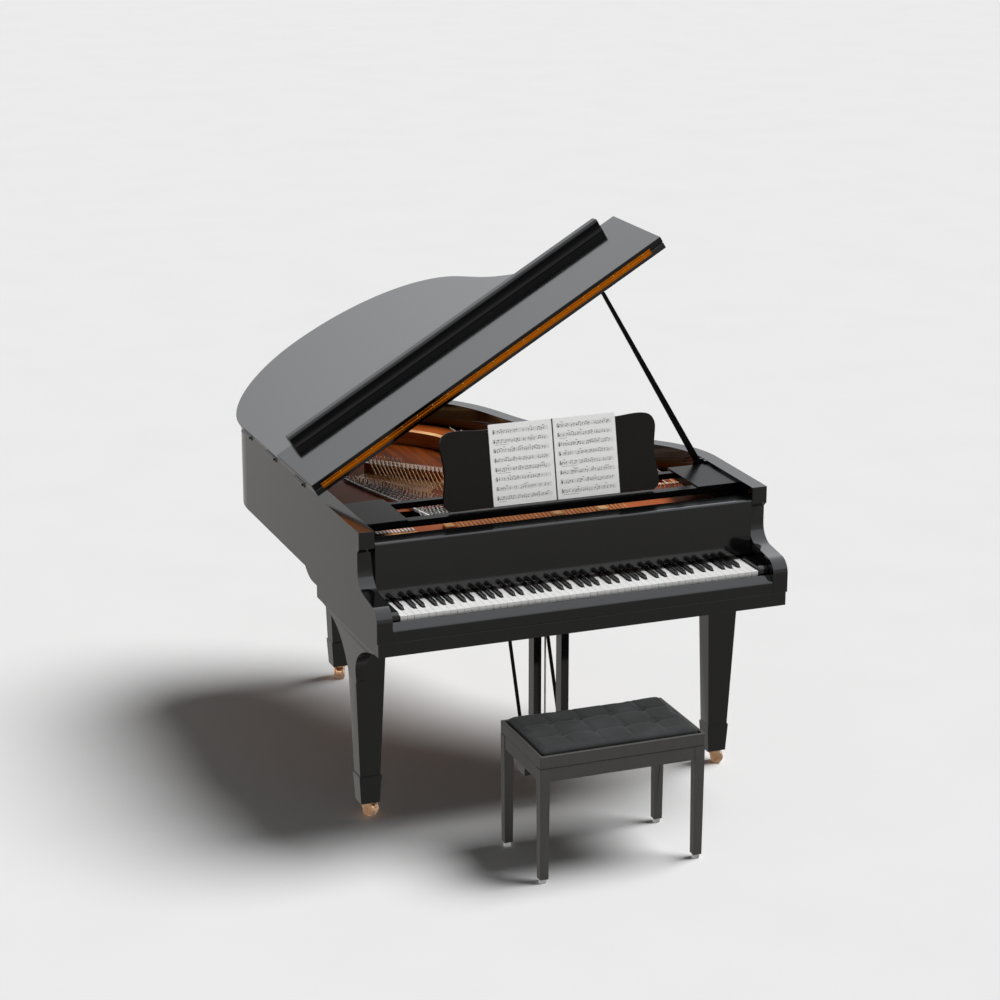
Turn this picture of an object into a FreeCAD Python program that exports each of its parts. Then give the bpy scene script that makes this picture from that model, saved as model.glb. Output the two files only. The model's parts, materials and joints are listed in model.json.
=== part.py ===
"""A dolls' house grand piano with its stool, as a parametric FreeCAD document.

The driving dimensions are those of the full-size instrument, in millimetres. Every length is
divided by the ratio, so the model itself is one twelfth of that size.

Full-size axes: X towards the treble side, Y towards the tail, Z up. X is zero on the centre
line of the case, Y at the front of the arms and Z on the floor. Each sub-part's Placement then
moves it so that the origin is under the centre of the whole set.
"""

import FreeCAD, Part
import math
import os
import re
from types import SimpleNamespace

ALONG_X = FreeCAD.Vector(1, 0, 0)
ALONG_Y = FreeCAD.Vector(0, 1, 0)
VERTICAL = FreeCAD.Vector(0, 0, 1)

DIMENSIONS = {
    "ratio": 12,
    "shift_x": 13.7,
    "shift_y": -718.5,
    # case
    "half_width": 699,
    "rim_wall": 51.5,
    "rim_front": 165,
    "rim_top": 1025,
    "rim_bottom": 745,
    "shoulder_y": 540,
    "shoulder_radius": 372,
    "waist_angle": 45,
    "waist_radius": 808,
    "spine_angle": 17,
    "spine_radius": 577,
    "tail_radius": 369,
    "case_length": 1783,
    "arm_bottom": 715,
    "arm_nose_top": 783,
    "arm_block": 970,
    "arm_crest": 836,
    "arm_crest_y": 119,
    "arm_recess_y": 182,
    "cove_front": 628,
    "cove_rear": 735,
    # inside the case
    "inner_rim_wall": 38,
    "inner_rim_bottom": 800,
    "belly_front": 590,
    "belly_rear": 630,
    "board_bottom": 893,
    "board_thickness": 10,
    "block_front": 245,
    "block_rear": 440,
    "block_bottom": 868,
    "plate_gap": 8,
    "plate_bottom": 925,
    "plate_thickness": 12,
    "plate_margin": 78,
    "plate_web_y": 600,
    "strut_width": 16,
    "strut_under": 982,
    "strut_top": 997,
    "string_gap": 16,
    "string_radius": 1.6,
    "string_front": 520,
    "bridge_top": 953,
    "bridge_width": 30,
    "bridge_inset": 190,
    "brace_bottom": 752,
    "brace_width": 56,
    # keyboard
    "bed_bottom": 670,
    "bed_inset": 4,
    "bed_front": 1,
    "bed_rear": 624,
    "slip_face": 753,
    "slip_back": 772,
    "slip_depth": 30,
    "natural_pitch": 23.5,
    "key_gap": 1,
    "key_front": 36,
    "key_rear": 285,
    "key_bottom": 764,
    "key_top": 786,
    "head_length": 50,
    "sharp_width": 11,
    "sharp_top": 797,
    "sharp_front": 88,
    "sharp_slope": 7,
    "balance_y": 260,
    "block_half": 613,
    "cheek_top": 798,
    "cheek_rear": 160,
    "frame_top": 744,
    "fall_bottom": 802,
    "fall_top": 984,
    "fall_thickness": 12,
    "fall_clearance": 2,
    "fall_pivot_y": 174,
    "fall_pivot_z": 812,
    "fall_pin": 2.5,
    "fall_pin_length": 8,
    "stretcher_front": 180,
    "stretcher_rear": 236,
    "stretcher_bottom": 840,
    # music shelf and desk
    "shelf_front": 268,
    "shelf_rail": 36,
    "shelf_rear": 480,
    "shelf_rear_rail": 24,
    "shelf_bottom": 990,
    "shelf_top": 1012,
    "shelf_block_x": 501,
    "shelf_block_top": 1016,
    "shelf_foot_x": 612,
    "shelf_block_rear": 507,
    "desk_y": 286,
    "desk_z": 1018,
    "desk_lean": 12,
    "desk_waist": 362,
    "desk_thickness": 13,
    "sheet_width": 216,
    "sheet_height": 262,
    "sheet_thickness": 2.5,
    # lid
    "lid_angle": 30.8,
    "lid_hinge_x": 702.7,
    "lid_hinge_z": 1033,
    "lid_overhang": 5,
    "lid_thickness": 21,
    "lid_front": 558,
    "flap_gap": 2,
    "flap_depth": 385,
    "leaf_height": 9,
    "leaf_depth": 2.4,
    "leaf_inset": 28,
    "leaf_end": 1354,
    "batten_start": 57,
    "batten_end": 1337,
    "batten_front": 332,
    "batten_height": 45,
    "butt_length": 96,
    "butt_radius": 4.5,
    "butt_out": 7.2,
    "butt_up": 2.5,
    "butt_leaf": 3,
    # prop
    "prop_length": 690.4,
    "prop_x": 620,
    "prop_y": 524,
    "prop_z": 1018,
    "prop_tip_y": 570,
    "prop_thickness": 8,
    "prop_lean": 29.19,
    "prop_pin": 3,
    "prop_foot": 22,
    "prop_tip": 12,
    # legs and casters
    "leg_x": 620,
    "leg_y": 342,
    "leg_foot_y": 355,
    "rear_leg_x": -312,
    "rear_leg_y": 1600,
    "foot_bottom": 50,
    "foot_top": 146,
    "foot_width": 64,
    "foot_depth": 58,
    "ankle_width": 76,
    "ankle_depth": 68,
    "shank_width": 69,
    "shank_depth": 61,
    "leg_top_width": 112,
    "leg_top_depth": 78,
    "rear_leg_top": 752,
    "bracket_outer": 693,
    "bracket_inner": 640,
    "caster_trail": 12,
    "wheel_radius": 22,
    "wheel_width": 26,
    "wheel_hub": 4.1,
    "axle_radius": 3.4,
    "cheek_gap": 1.2,
    "cheek_width": 5,
    "cheek_radius": 19,
    "plate_radius": 25,
    "stem_radius": 6,
    "stem_length": 22,
    "running_gap": 0.7,
    # lyre and pedals
    "post_inner": 35,
    "post_outer": 62,
    "post_front": 300,
    "post_rear": 345,
    "lyre_half": 100,
    "lyre_head_z": 646,
    "pedal_box_bottom": 84,
    "pedal_box_top": 156,
    "pedal_pitch": 54,
    "pedal_half_width": 11,
    "pedal_front": 176,
    "pedal_rear": 338,
    "pedal_z": 120,
    "pedal_thickness": 10,
    "pedal_axle": 2,
    "pedal_pivot_y": 330,
    "slot_margin": 3,
    "slot_half_height": 17,
    "brace_radius": 6,
    "brace_x": 68,
    "brace_y": 349,
    "brace_top_y": 572,
    # stool
    "stool_left": -302.5,
    "stool_right": 248,
    "stool_front": -351,
    "stool_rear": -20,
    "stool_seat_z": 381,
    "stool_top": 421,
    "stool_apron_z": 336,
    "stool_leg_width": 33,
    "stool_foot_width": 28,
    "stool_leg_z": 14,
    "stool_board": 8,
    "stool_gap": 1.5,
    "glide_radius": 12,
    "cushion_inset": 13,
    "cushion_top": 437,
}

doc = FreeCAD.newDocument("grand_piano")
sheet = doc.addObject("Spreadsheet::Sheet", "sheet")
for row, (alias, value) in enumerate(DIMENSIONS.items(), start=1):
    sheet.set(f"A{row}", alias)
    sheet.set(f"B{row}", str(value))
    sheet.setAlias(f"B{row}", alias)
doc.recompute()

# The same dimensions at the model's size; angles stay in degrees.
ANGLES = {"waist_angle", "spine_angle", "desk_lean", "lid_angle", "prop_lean"}
size = SimpleNamespace(
    **{k: v if k in ANGLES else v / DIMENSIONS["ratio"] for k, v in DIMENSIONS.items() if k != "ratio"}
)
parts = {}


def mm(full_size):
    """A length of the full-size instrument at the model's size."""
    return full_size / DIMENSIONS["ratio"]


def bound(formula):
    """The expression for a full-size formula whose words are cells of the sheet."""
    words = re.sub(r"[a-z_]+", lambda w: f"sheet.{w.group()}", str(formula))
    return f"({words}) / sheet.ratio"


def bind(thing, **formulas):
    for name, formula in formulas.items():
        thing.setExpression(name, bound(formula))
    return thing


def stand(thing, x=0, y=0, z=0, moved=True):
    """Bind a Placement's position; a sub-part's also carries the shift to the frame's origin."""
    base = ".Placement.Base."
    thing.setExpression(base + "x", bound(f"{x} + shift_x" if moved else x))
    thing.setExpression(base + "y", bound(f"{y} + shift_y" if moved else y))
    thing.setExpression(base + "z", bound(z))
    return thing


def keep(thing, label):
    """Make a finished object the sub-part of this name."""
    thing.Label = label
    parts[label] = thing
    return thing


def box(name, x, y, z, part=False):
    thing = doc.addObject("Part::Box", name)
    (x0, x1), (y0, y1), (z0, z1) = x, y, z
    bind(thing, Length=f"({x1}) - ({x0})", Width=f"({y1}) - ({y0})", Height=f"({z1}) - ({z0})")
    stand(thing, f"({x0})", f"({y0})", f"({z0})", moved=part)
    return keep(thing, name) if part else thing


def cylinder(name, radius, length, at, along=VERTICAL, part=False):
    thing = doc.addObject("Part::Cylinder", name)
    bind(thing, Radius=radius, Height=length)
    thing.Placement.Rotation = FreeCAD.Rotation(VERTICAL, along)
    stand(thing, *at, moved=part)
    return keep(thing, name) if part else thing


def fuse(name, pieces, part=True):
    thing = doc.addObject("Part::MultiFuse", name)
    thing.Shapes = pieces
    thing.Refine = True
    if part:
        stand(thing)
        keep(thing, name)
    return thing


def cut(name, base, tool, part=True):
    thing = doc.addObject("Part::Cut", name)
    thing.Base, thing.Tool = base, tool
    if part:
        stand(thing)
        keep(thing, name)
    return thing


def common(name, base, tool, part=False):
    thing = doc.addObject("Part::Common", name)
    thing.Base, thing.Tool = base, tool
    if part:
        stand(thing)
        keep(thing, name)
    return thing


def computed(name, shape):
    """A sub-part whose shape is worked out here, from the sheet's values."""
    thing = doc.addObject("Part::Feature", name)
    thing.Shape = shape
    stand(thing)
    return keep(thing, name)


def pad(name, plane, outlines, low, high, part=True):
    """A body padded between two planes, from closed outlines of edges.

    XY outlines are (x, y), YZ ones (y, z) and XZ ones (x, z). The pad runs along +Z, +X and -Y.
    """
    body = doc.addObject("PartDesign::Body", name)
    body.AllowCompound = True
    origin = next(o for o in body.Origin.OriginFeatures if o.Role == f"{plane}_Plane")
    sketch = body.newObject("Sketcher::SketchObject", f"{name}_outline")
    sketch.AttachmentSupport = [(origin, "")]
    sketch.MapMode = "FlatFace"
    start = f"-({high})" if plane == "XZ" else f"{low}"
    sketch.setExpression(".AttachmentOffset.Base.z", bound(start))
    sketch.addGeometry([edge for outline in outlines for edge in outline], False)
    solid = body.newObject("PartDesign::Pad", f"{name}_pad")
    solid.Profile = sketch
    bind(solid, Length=f"({high}) - ({low})")
    body.Tip = solid
    if part:
        stand(body)
        keep(body, name)
    return body


def wedge(name, at, low, high, height):
    """A tapered post standing at a point: its low and high sections are (width, depth)."""
    thing = doc.addObject("Part::Wedge", name)
    ends = {"Xmin": low[0], "Zmin": low[1], "X2min": high[0], "Z2min": high[1]}
    bind(thing, Ymin=0, Ymax=height, **{end: f"-({side}) / 2" for end, side in ends.items()})
    bind(thing, **{end.replace("min", "max"): f"({side}) / 2" for end, side in ends.items()})
    thing.Placement.Rotation = FreeCAD.Rotation(ALONG_X, 90)
    return stand(thing, *at, moved=False)


def line(a, b):
    return Part.LineSegment(FreeCAD.Vector(*a, 0), FreeCAD.Vector(*b, 0))


def arc(a, middle, b):
    return Part.ArcOfCircle(FreeCAD.Vector(*a, 0), FreeCAD.Vector(*middle, 0), FreeCAD.Vector(*b, 0))


def polygon(*points):
    return [line(a, b) for a, b in zip(points, points[1:] + points[:1])]


def rectangle(x0, x1, y0, y1):
    return polygon((x0, y0), (x1, y0), (x1, y1), (x0, y1))


def spline(points):
    curve = Part.BSplineCurve()
    curve.interpolate([FreeCAD.Vector(*p, 0) for p in points])
    return curve


# ---------------------------------------------------------------- the case's plan


def turn(point, start, end, radius):
    """The arc that leaves a point at one heading and ends at another, in degrees from +Y
    towards -X. A larger heading turns left, to the bass side."""
    side = 1 if end > start else -1

    def at(heading):
        a, b = math.radians(start), math.radians(heading)
        across = side * radius * (math.cos(b) - math.cos(a))
        along = side * radius * (math.sin(b) - math.sin(a))
        return (point[0] + across, point[1] + along)

    return arc(point, at((start + end) / 2), at(end)), at(end)


def straight(point, heading, length):
    a = math.radians(heading)
    end = (point[0] - length * math.sin(a), point[1] + length * math.cos(a))
    return line(point, end), end


def bent_side(inset):
    """The treble side and tail at an inset from the rim's outer face: the curve from the end of
    the straight treble side, by the shoulder, waist and spine, to the start of the bass side."""
    steep, shallow = math.radians(size.waist_angle), math.radians(size.spine_angle)
    shoulder, tail = size.shoulder_radius, size.tail_radius
    waist, spine = size.waist_radius, size.spine_radius
    # The two straight runs close the curve on the case's width and length.
    across = 2 * size.half_width - shoulder * (1 - math.cos(steep)) - tail
    across -= waist * (math.cos(shallow) - math.cos(steep)) + spine * math.cos(shallow)
    along = size.case_length - size.shoulder_y - shoulder * math.sin(steep)
    along -= waist * (math.sin(steep) - math.sin(shallow)) + spine * (1 - math.sin(shallow))
    second = (along - across / math.tan(steep)) / (math.cos(shallow) - math.sin(shallow) / math.tan(steep))
    first = (across - second * math.sin(shallow)) / math.sin(steep)

    edges = []
    point = (size.half_width - inset, size.shoulder_y)
    for kind, *values in (
        (turn, 0, size.waist_angle, shoulder - inset),
        (straight, size.waist_angle, first),
        (turn, size.waist_angle, size.spine_angle, waist + inset),
        (straight, size.spine_angle, second),
        (turn, size.spine_angle, 90, spine - inset),
        (turn, 90, 180, tail - inset),
    ):
        edge, point = kind(point, *values)
        edges.append(edge)
    return edges, point


def treble_side(inset, front):
    """The case's side from a front line, by the treble side and the tail, to the bass side.

    A front line behind the shoulder's start cuts the shoulder's arc.
    """
    curve, end = bent_side(inset)
    right = size.half_width - inset
    if front <= size.shoulder_y:
        return [line((right, front), (right, size.shoulder_y)), *curve], (right, front), end
    shoulder = curve[0]
    centre, radius = shoulder.Center, shoulder.Radius
    low, high = math.asin((front - centre.y) / radius), math.radians(size.waist_angle)
    start, middle, last = [
        (centre.x + radius * math.cos(a), centre.y + radius * math.sin(a))
        for a in (low, (low + high) / 2, high)
    ]
    return [arc(start, middle, last), *curve[1:]], start, end


def plan(inset, front):
    """The closed plan of the case, inset from its outer face and cut off at a front line."""
    edges, start, end = treble_side(inset, front)
    return [*edges, line(end, (end[0], front)), line((end[0], front), start)]


def ring(outer, inner, front):
    """The plan of a wall between two insets, open at its front line."""
    outside, start, end = treble_side(outer, front)
    inside, inner_start, inner_end = treble_side(inner, front)
    sides = [line(end, (end[0], front)), line(inner_end, (inner_end[0], front))]
    ends = [line(start, inner_start), line((end[0], front), (inner_end[0], front))]
    return outside + inside + sides + ends


# ---------------------------------------------------------------- rim and structure


def arm_profile():
    """The side of an arm: an end block, a recess, a sweep down to the crest and a round nose."""
    front, top, low = size.rim_front, size.rim_top, size.arm_bottom
    recess, crest_y, crest = size.arm_recess_y, size.arm_crest_y, size.arm_crest
    sweep = recess - crest_y

    def swept(degrees):
        a = math.radians(degrees)
        return (crest_y + sweep * math.cos(a), crest + sweep * (1 - math.sin(a)))

    slope = 8
    start, end = swept(0), swept(90 - slope)
    nose_y = mm(48)
    nose = (nose_y, end[1] - (end[0] - nose_y) * math.tan(math.radians(slope)))
    return [
        line((size.cove_rear, top), (front, top)),
        line((front, top), (front, size.arm_block)),
        line((front, size.arm_block), (recess, size.arm_block - mm(15))),
        line((recess, size.arm_block - mm(15)), start),
        arc(start, swept(45 - slope / 2), end),
        line(end, nose),
        arc(nose, (mm(15), nose[1] - mm(14)), (0, size.arm_nose_top)),
        line((0, size.arm_nose_top), (0, low)),
        line((0, low), (size.cove_front, low)),
        arc(
            (size.cove_front, low),
            (size.cove_front + mm(72), low + mm(9)),
            (size.cove_rear, size.rim_bottom),
        ),
        line((size.cove_rear, size.rim_bottom), (size.cove_rear, top)),
    ]


def make_rim():
    """A curved wall whose two ends are the arms, with a bore in each arm for the fallboard."""
    outline = ring(0, size.rim_wall, size.arm_recess_y)
    wall = pad("rim_wall_ring", "XY", [outline], "rim_bottom", "rim_top", False)
    right = pad("arm_right", "YZ", [arm_profile()], "half_width - rim_wall", "half_width", False)
    left = pad("arm_left", "YZ", [arm_profile()], "-half_width", "rim_wall - half_width", False)
    arms = fuse("arms", [left, right], part=False)
    footprint = pad("case_footprint", "XY", [plan(0, 0)], "arm_bottom", "rim_top", False)
    solid = fuse("rim_solid", [wall, common("arms_trimmed", arms, footprint)], part=False)
    reach = "half_width - rim_wall + fall_pin_length + 2"
    at = (f"-({reach})", "fall_pivot_y", "fall_pivot_z")
    bore = cylinder("fall_bore", "fall_pin + running_gap", f"2 * ({reach})", at, ALONG_X)
    cut("rim", solid, bore)


def make_structure():
    inner = ring(size.rim_wall, size.rim_wall + size.inner_rim_wall, size.belly_rear)
    pad("inner_rim", "XY", [inner], "inner_rim_bottom", "board_bottom")
    board = plan(size.rim_wall, size.belly_front)
    pad("soundboard", "XY", [board], "board_bottom", "board_bottom + board_thickness")
    # The belly rail and three beams fanning back from it, under the soundboard.
    rail = box(
        "belly_rail",
        ("rim_wall - half_width", "half_width - rim_wall - 15"),
        ("belly_front", "belly_rear"),
        ("arm_bottom", "board_bottom"),
    )
    beams = []
    for name, x, length, angle in (
        ("beam_left", -430, 985, 8),
        ("beam_middle", -90, 1140, 12.4),
        ("beam_right", 330, 470, 12),
    ):
        across = ("-brace_width / 2", "brace_width / 2")
        beam = box(name, across, (0, length), ("brace_bottom", "inner_rim_bottom"))
        beam.Placement.Rotation = FreeCAD.Rotation(VERTICAL, angle)
        stand(beam, x, "belly_front + 5", "brace_bottom", moved=False)
        beams.append(beam)
    fuse("back_braces", [rail, *beams])
    box(
        "pinblock",
        ("rim_wall - half_width", "half_width - rim_wall"),
        ("block_front", "block_rear"),
        ("block_bottom", "plate_bottom"),
        part=True,
    )


def strut(name, x, angle, length):
    """A raised bar of the plate, with a foot at each end and the strings passing under it."""
    foot, low, top = mm(26), size.plate_bottom, size.strut_top
    profile = polygon(
        (0, low), (foot, low), (foot + mm(8), size.strut_under), (length - foot - mm(8), size.strut_under),
        (length - foot, low), (length, low), (length, top - mm(6)), (length - mm(8), top), (0, top),
    )
    bar = pad(name, "YZ", [profile], "-strut_width / 2", "strut_width / 2", False)
    bar.Placement.Rotation = FreeCAD.Rotation(VERTICAL, angle)
    return stand(bar, x, "plate_web_y - 34", moved=False)


def make_plate():
    """The cast plate: a web over the pinblock, a rim on the soundboard's edge and a strut."""
    edge = size.rim_wall + size.plate_gap
    outline = plan(edge, size.block_front)
    slab = pad("plate_slab", "XY", [outline], "plate_bottom", "plate_bottom + plate_thickness", False)
    flange = pad(
        "plate_flange", "XY", [ring(edge, edge + mm(34), size.belly_rear)],
        "board_bottom + board_thickness", "plate_bottom", False,
    )
    window = pad("plate_window", "XY", [plan(edge + size.plate_margin, size.plate_web_y)], 900, 945, False)
    web = cut("plate_web", slab, window, part=False)
    fuse("plate", [web, flange, strut("strut_treble", 330, 12, mm(560))])


def make_bridges():
    """The treble bridge follows the bent side; the bass bridge is a bar set across the tail."""
    near, near_end = bent_side(size.bridge_inset)
    far, far_end = bent_side(size.bridge_inset + size.bridge_width)
    path = near[1:5]
    back = far[1:5]
    first, last = near[1].StartPoint, near[4].EndPoint
    first_far, last_far = far[1].StartPoint, far[4].EndPoint
    closing = [Part.LineSegment(first, first_far), Part.LineSegment(last, last_far)]
    pad("treble_bridge", "XY", [path + back + closing], "board_bottom + board_thickness", "bridge_top")
    bass = polygon(*[(mm(x), mm(y)) for x, y in ((-375, 1085), (-340, 1120), (-130, 915), (-165, 880))])
    pad("bass_bridge", "XY", [bass], "board_bottom + board_thickness", "bridge_top + string_gap")


def fan(starts, ends, height):
    """Straight wires between two rows of points, without those that would touch the plate."""
    plate = parts["plate"].Shape.copy()
    plate.Placement = FreeCAD.Placement()
    wires = []
    for start, end in zip(starts, ends):
        a = FreeCAD.Vector(*start, height)
        b = FreeCAD.Vector(*end, height)
        solid = Part.makeCylinder(size.string_radius, (b - a).Length, a, b - a)
        if solid.distToShape(plate)[0] > mm(2):
            wires.append(solid)
    return Part.makeCompound(wires)


def between(a, b, count):
    """Evenly spaced plan points from a to b, given at full size."""
    shares = [n / (count - 1) for n in range(count)]
    return [tuple(mm(p + t * (q - p)) for p, q in zip(a, b)) for t in shares]


def make_strings():
    """Thin straight wires, one for each second or third note, just above the bridges' tops."""
    doc.recompute()
    front = DIMENSIONS["string_front"]
    low = size.bridge_top + size.string_radius + mm(1)
    curve, _ = bent_side(size.rim_wall + size.plate_gap + mm(46))
    path = Part.Wire([edge.toShape() for edge in curve[:5]])
    ends = [(p.x, p.y) for p in path.discretize(30)[1:] if p.x > mm(60)]
    computed("plain_strings", fan(between((585, front), (110, front), len(ends)), ends, low))
    starts, ends = between((-425, 830), (-222, 610), 12), between((-348, 1112), (-142, 912), 12)
    computed("bass_strings", fan(starts, ends, low + size.string_gap))


# ---------------------------------------------------------------- keyboard

NATURALS = "cdefgab"
SHARPS = {"c": -2.5, "d": 2.5, "f": -3.5, "g": 0, "a": 3.5}
LOWEST = 5  # the first natural, an A, counted from the C below it
COUNT = 52


def natural_left(n):
    """The left edge of the nth natural, the keyboard being centred on the case."""
    return (n - COUNT / 2) * size.natural_pitch


def sharp_centre(n):
    """The centre of the sharp after the nth natural, or None where there is none."""
    letter = NATURALS[(n + LOWEST) % 7]
    if letter not in SHARPS or not 0 <= n < COUNT - 1:
        return None
    return natural_left(n + 1) + mm(SHARPS[letter])


def natural_outline(n):
    """A natural's plan: a full-width head and a tail that clears the sharps beside it."""
    half_gap = size.key_gap / 2
    beside = size.sharp_width / 2 + size.key_gap
    left, right = natural_left(n) + half_gap, natural_left(n + 1) - half_gap
    before, after = sharp_centre(n - 1), sharp_centre(n)
    tail_left = left if before is None else before + beside
    tail_right = right if after is None else after - beside
    front, head, rear = size.key_front, size.key_front + size.head_length, size.key_rear
    points = [(left, front), (right, front), (right, head), (tail_right, head)]
    points += [(tail_right, rear), (tail_left, rear), (tail_left, head), (left, head)]
    return polygon(*[p for i, p in enumerate(points) if p != points[i - 1]])


def make_keys():
    """Each note name is one body of keys: seven or eight of the same shape."""
    for index, letter in enumerate(NATURALS):
        members = [n for n in range(COUNT) if (n + LOWEST) % 7 == index]
        outlines = [natural_outline(n) for n in members]
        pad(f"keys_{letter}", "XY", outlines, "key_bottom", "key_top")
        centres = [c for c in map(sharp_centre, members) if c is not None]
        if centres:
            make_sharps(f"keys_{letter}_sharp", centres)


def make_sharps(name, centres):
    """Sharps: a raised cap with a sloping front, on a stick as thick as the naturals."""
    half = size.sharp_width / 2
    top, low = size.sharp_top, size.key_bottom
    front, slope, rear = size.sharp_front, size.sharp_slope, size.key_rear
    cap_end = size.fall_pivot_y + mm(6)
    profile = [
        (front, low), (front, size.key_top), (front + slope, top), (cap_end, top),
        (cap_end, size.key_top), (rear, size.key_top), (rear, low), (front, low),
    ]
    solids = []
    for centre in centres:
        side = Part.makePolygon([FreeCAD.Vector(centre - half, y, z) for y, z in profile])
        solids.append(Part.Face(side).extrude(FreeCAD.Vector(2 * half, 0, 0)))
    computed(name, Part.makeCompound(solids))


def make_keyboard():
    """The keybed under the arms, and what stands on it round the keys."""
    footprint = pad("bed_footprint", "XY", [plan(size.bed_inset, 0)], "bed_bottom", "arm_bottom", False)
    across = ("bed_inset - half_width", "half_width - bed_inset")
    slab = box("bed_slab", across, ("bed_front", "bed_rear"), ("bed_bottom", "arm_bottom"))
    common("keybed", slab, footprint, part=True)
    wide = ("3 - block_half", "block_half - 3")
    base = box("key_frame_base", wide, ("key_front + 4", "key_rear + 15"), ("arm_bottom", "frame_top"))
    along = ("balance_y - 7", "balance_y + 7")
    fuse("key_frame", [base, box("balance_rail", wide, along, ("frame_top", "key_bottom - 1"))])
    low, back, face = size.arm_bottom, size.slip_depth, size.slip_face
    lip = mm(4)
    slip = [
        line((0, low), (0, face - lip)),
        arc((0, face - lip), (lip * 0.3, face - lip * 0.2), (lip, face + lip * 0.6)),
        line((lip, face + lip * 0.6), (back - mm(6), size.slip_back)),
        line((back - mm(6), size.slip_back), (back, size.slip_back)),
        line((back, size.slip_back), (back, low)),
        line((back, low), (0, low)),
    ]
    pad("key_slip", "YZ", [slip], "rim_wall - half_width", "half_width - rim_wall")
    front, top, rear = size.key_front, size.cheek_top, size.cheek_rear
    nose = mm(14)
    cheek = [
        line((front, low), (front, top - nose)),
        arc((front, top - nose), (front + nose * 0.3, top - nose * 0.3), (front + nose, top)),
        line((front + nose, top), (rear, top)),
        line((rear, top), (rear, low)),
        line((rear, low), (front, low)),
    ]
    right = pad("cheek_right", "YZ", [cheek], "block_half", "half_width - rim_wall", False)
    left = pad("cheek_left", "YZ", [cheek], "rim_wall - half_width", "-block_half", False)
    fuse("key_blocks", [left, right])


def make_fallboard():
    """The board behind the keys, with a rounded top edge and a pin into each arm."""
    front, thick = size.rim_front, size.fall_thickness
    low, top, nose = size.fall_bottom, size.fall_top, size.fall_thickness * 0.6
    profile = [
        line((front, low), (front, top - nose)),
        arc((front, top - nose), (front + nose * 0.3, top - nose * 0.3), (front + nose, top)),
        line((front + nose, top), (front + thick, top)),
        line((front + thick, top), (front + thick, low)),
        line((front + thick, low), (front, low)),
    ]
    half = "half_width - rim_wall - fall_clearance"
    board = pad("fall_panel", "YZ", [profile], f"-({half})", half, False)
    reach = "half_width - rim_wall + fall_pin_length"
    at = (f"-({reach})", "fall_pivot_y", "fall_pivot_z")
    fuse("fallboard", [board, cylinder("fall_pivot", "fall_pin", f"2 * ({reach})", at, ALONG_X)])


def make_stretcher():
    """The fixed beam behind the fallboard, with a step at the back over the pinblock."""
    front, rear = size.stretcher_front, size.stretcher_rear
    low, step, top = size.stretcher_bottom, mm(925), size.fall_top
    deep = mm(26)
    rail = [(front, low), (front + deep, low), (front + deep, step), (rear, step), (rear, top), (front, top)]
    pad("stretcher", "YZ", [polygon(*rail)], "rim_wall - half_width", "half_width - rim_wall")


# ---------------------------------------------------------------- shelf and desk


def make_shelf():
    """A tray round the tuning pins: two rails between two end blocks that stand on the plate."""
    wide = "half_width - rim_wall"
    middle = ("-shelf_block_x", "shelf_block_x")
    front = ("shelf_front", "shelf_front + shelf_rail")
    rear = ("shelf_rear - shelf_rear_rail", "shelf_rear")
    pieces = [
        box("shelf_front_rail", middle, front, ("shelf_bottom", "shelf_top")),
        box("shelf_rear_rail", middle, rear, ("shelf_bottom + 2", "shelf_top")),
    ]
    long, block, foot = ("shelf_front", "shelf_block_rear"), "shelf_block_x", "shelf_foot_x"
    for side, blocks, feet in (
        ("left", (f"-({wide})", f"-{block}"), (f"-({wide})", f"-{foot}")),
        ("right", (block, wide), (foot, wide)),
    ):
        pieces.append(box(f"shelf_block_{side}", blocks, long, ("shelf_bottom", "shelf_block_top")))
        under = ("plate_bottom + plate_thickness", "shelf_bottom")
        pieces.append(box(f"shelf_foot_{side}", feet, long, under))
    fuse("music_shelf", pieces)


def desk_outline():
    """The desk: rounded lower corners, a waisted side, a round shoulder and a low crown."""
    side = [
        (mm(350), 0), (mm(368), mm(16)), (mm(369), mm(60)), (size.desk_waist, mm(125)),
        (mm(369), mm(188)), (mm(371), mm(216)), (mm(356), mm(244)), (mm(318), mm(254)),
        (mm(250), mm(250)), (0, mm(263)),
    ]
    mirrored = [(-x, z) for x, z in reversed(side[:-1])]
    return [spline(side + mirrored), line((-side[0][0], 0), side[0])]


def lean_back(thing, y_offset=0.0):
    """Stand a piece made at the origin on the desk's hinge line, leaning back."""
    thing.Placement.Rotation = FreeCAD.Rotation(ALONG_X, -size.desk_lean)
    return stand(thing, 0, f"desk_y + {y_offset}", "desk_z")


def make_desk():
    board = pad("music_desk", "XZ", [desk_outline()], 0, "desk_thickness")
    lean_back(board)
    lift, gap, middle = mm(2), mm(5), mm(12)
    sheets = [
        rectangle(middle + gap / 2, middle + gap / 2 + size.sheet_width, lift, lift + size.sheet_height),
        rectangle(middle - gap / 2 - size.sheet_width, middle - gap / 2, lift, lift + size.sheet_height),
    ]
    lean_back(pad("sheet_music", "XZ", sheets, "-sheet_thickness", 0))


# ---------------------------------------------------------------- lid


def lid_frame():
    """The open lid's own frame: u along the lid from its hinge, y and v square to the lid."""
    hinge = FreeCAD.Vector(-size.lid_hinge_x, 0, size.lid_hinge_z)
    return FreeCAD.Placement(hinge, FreeCAD.Rotation(ALONG_Y, -size.lid_angle))


def on_lid(thing):
    """Tilt a piece drawn flat, with its bass edge at x = 0, up to the open lid's angle."""
    thing.Placement.Rotation = lid_frame().Rotation
    return stand(thing, "-lid_hinge_x", 0, "lid_hinge_z")


def shifted(edges, across):
    """The same edges moved along X."""
    moved = []
    for edge in edges:
        copy = edge.copy()
        copy.translate(FreeCAD.Vector(across, 0, 0))
        moved.append(copy)
    return moved


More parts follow.
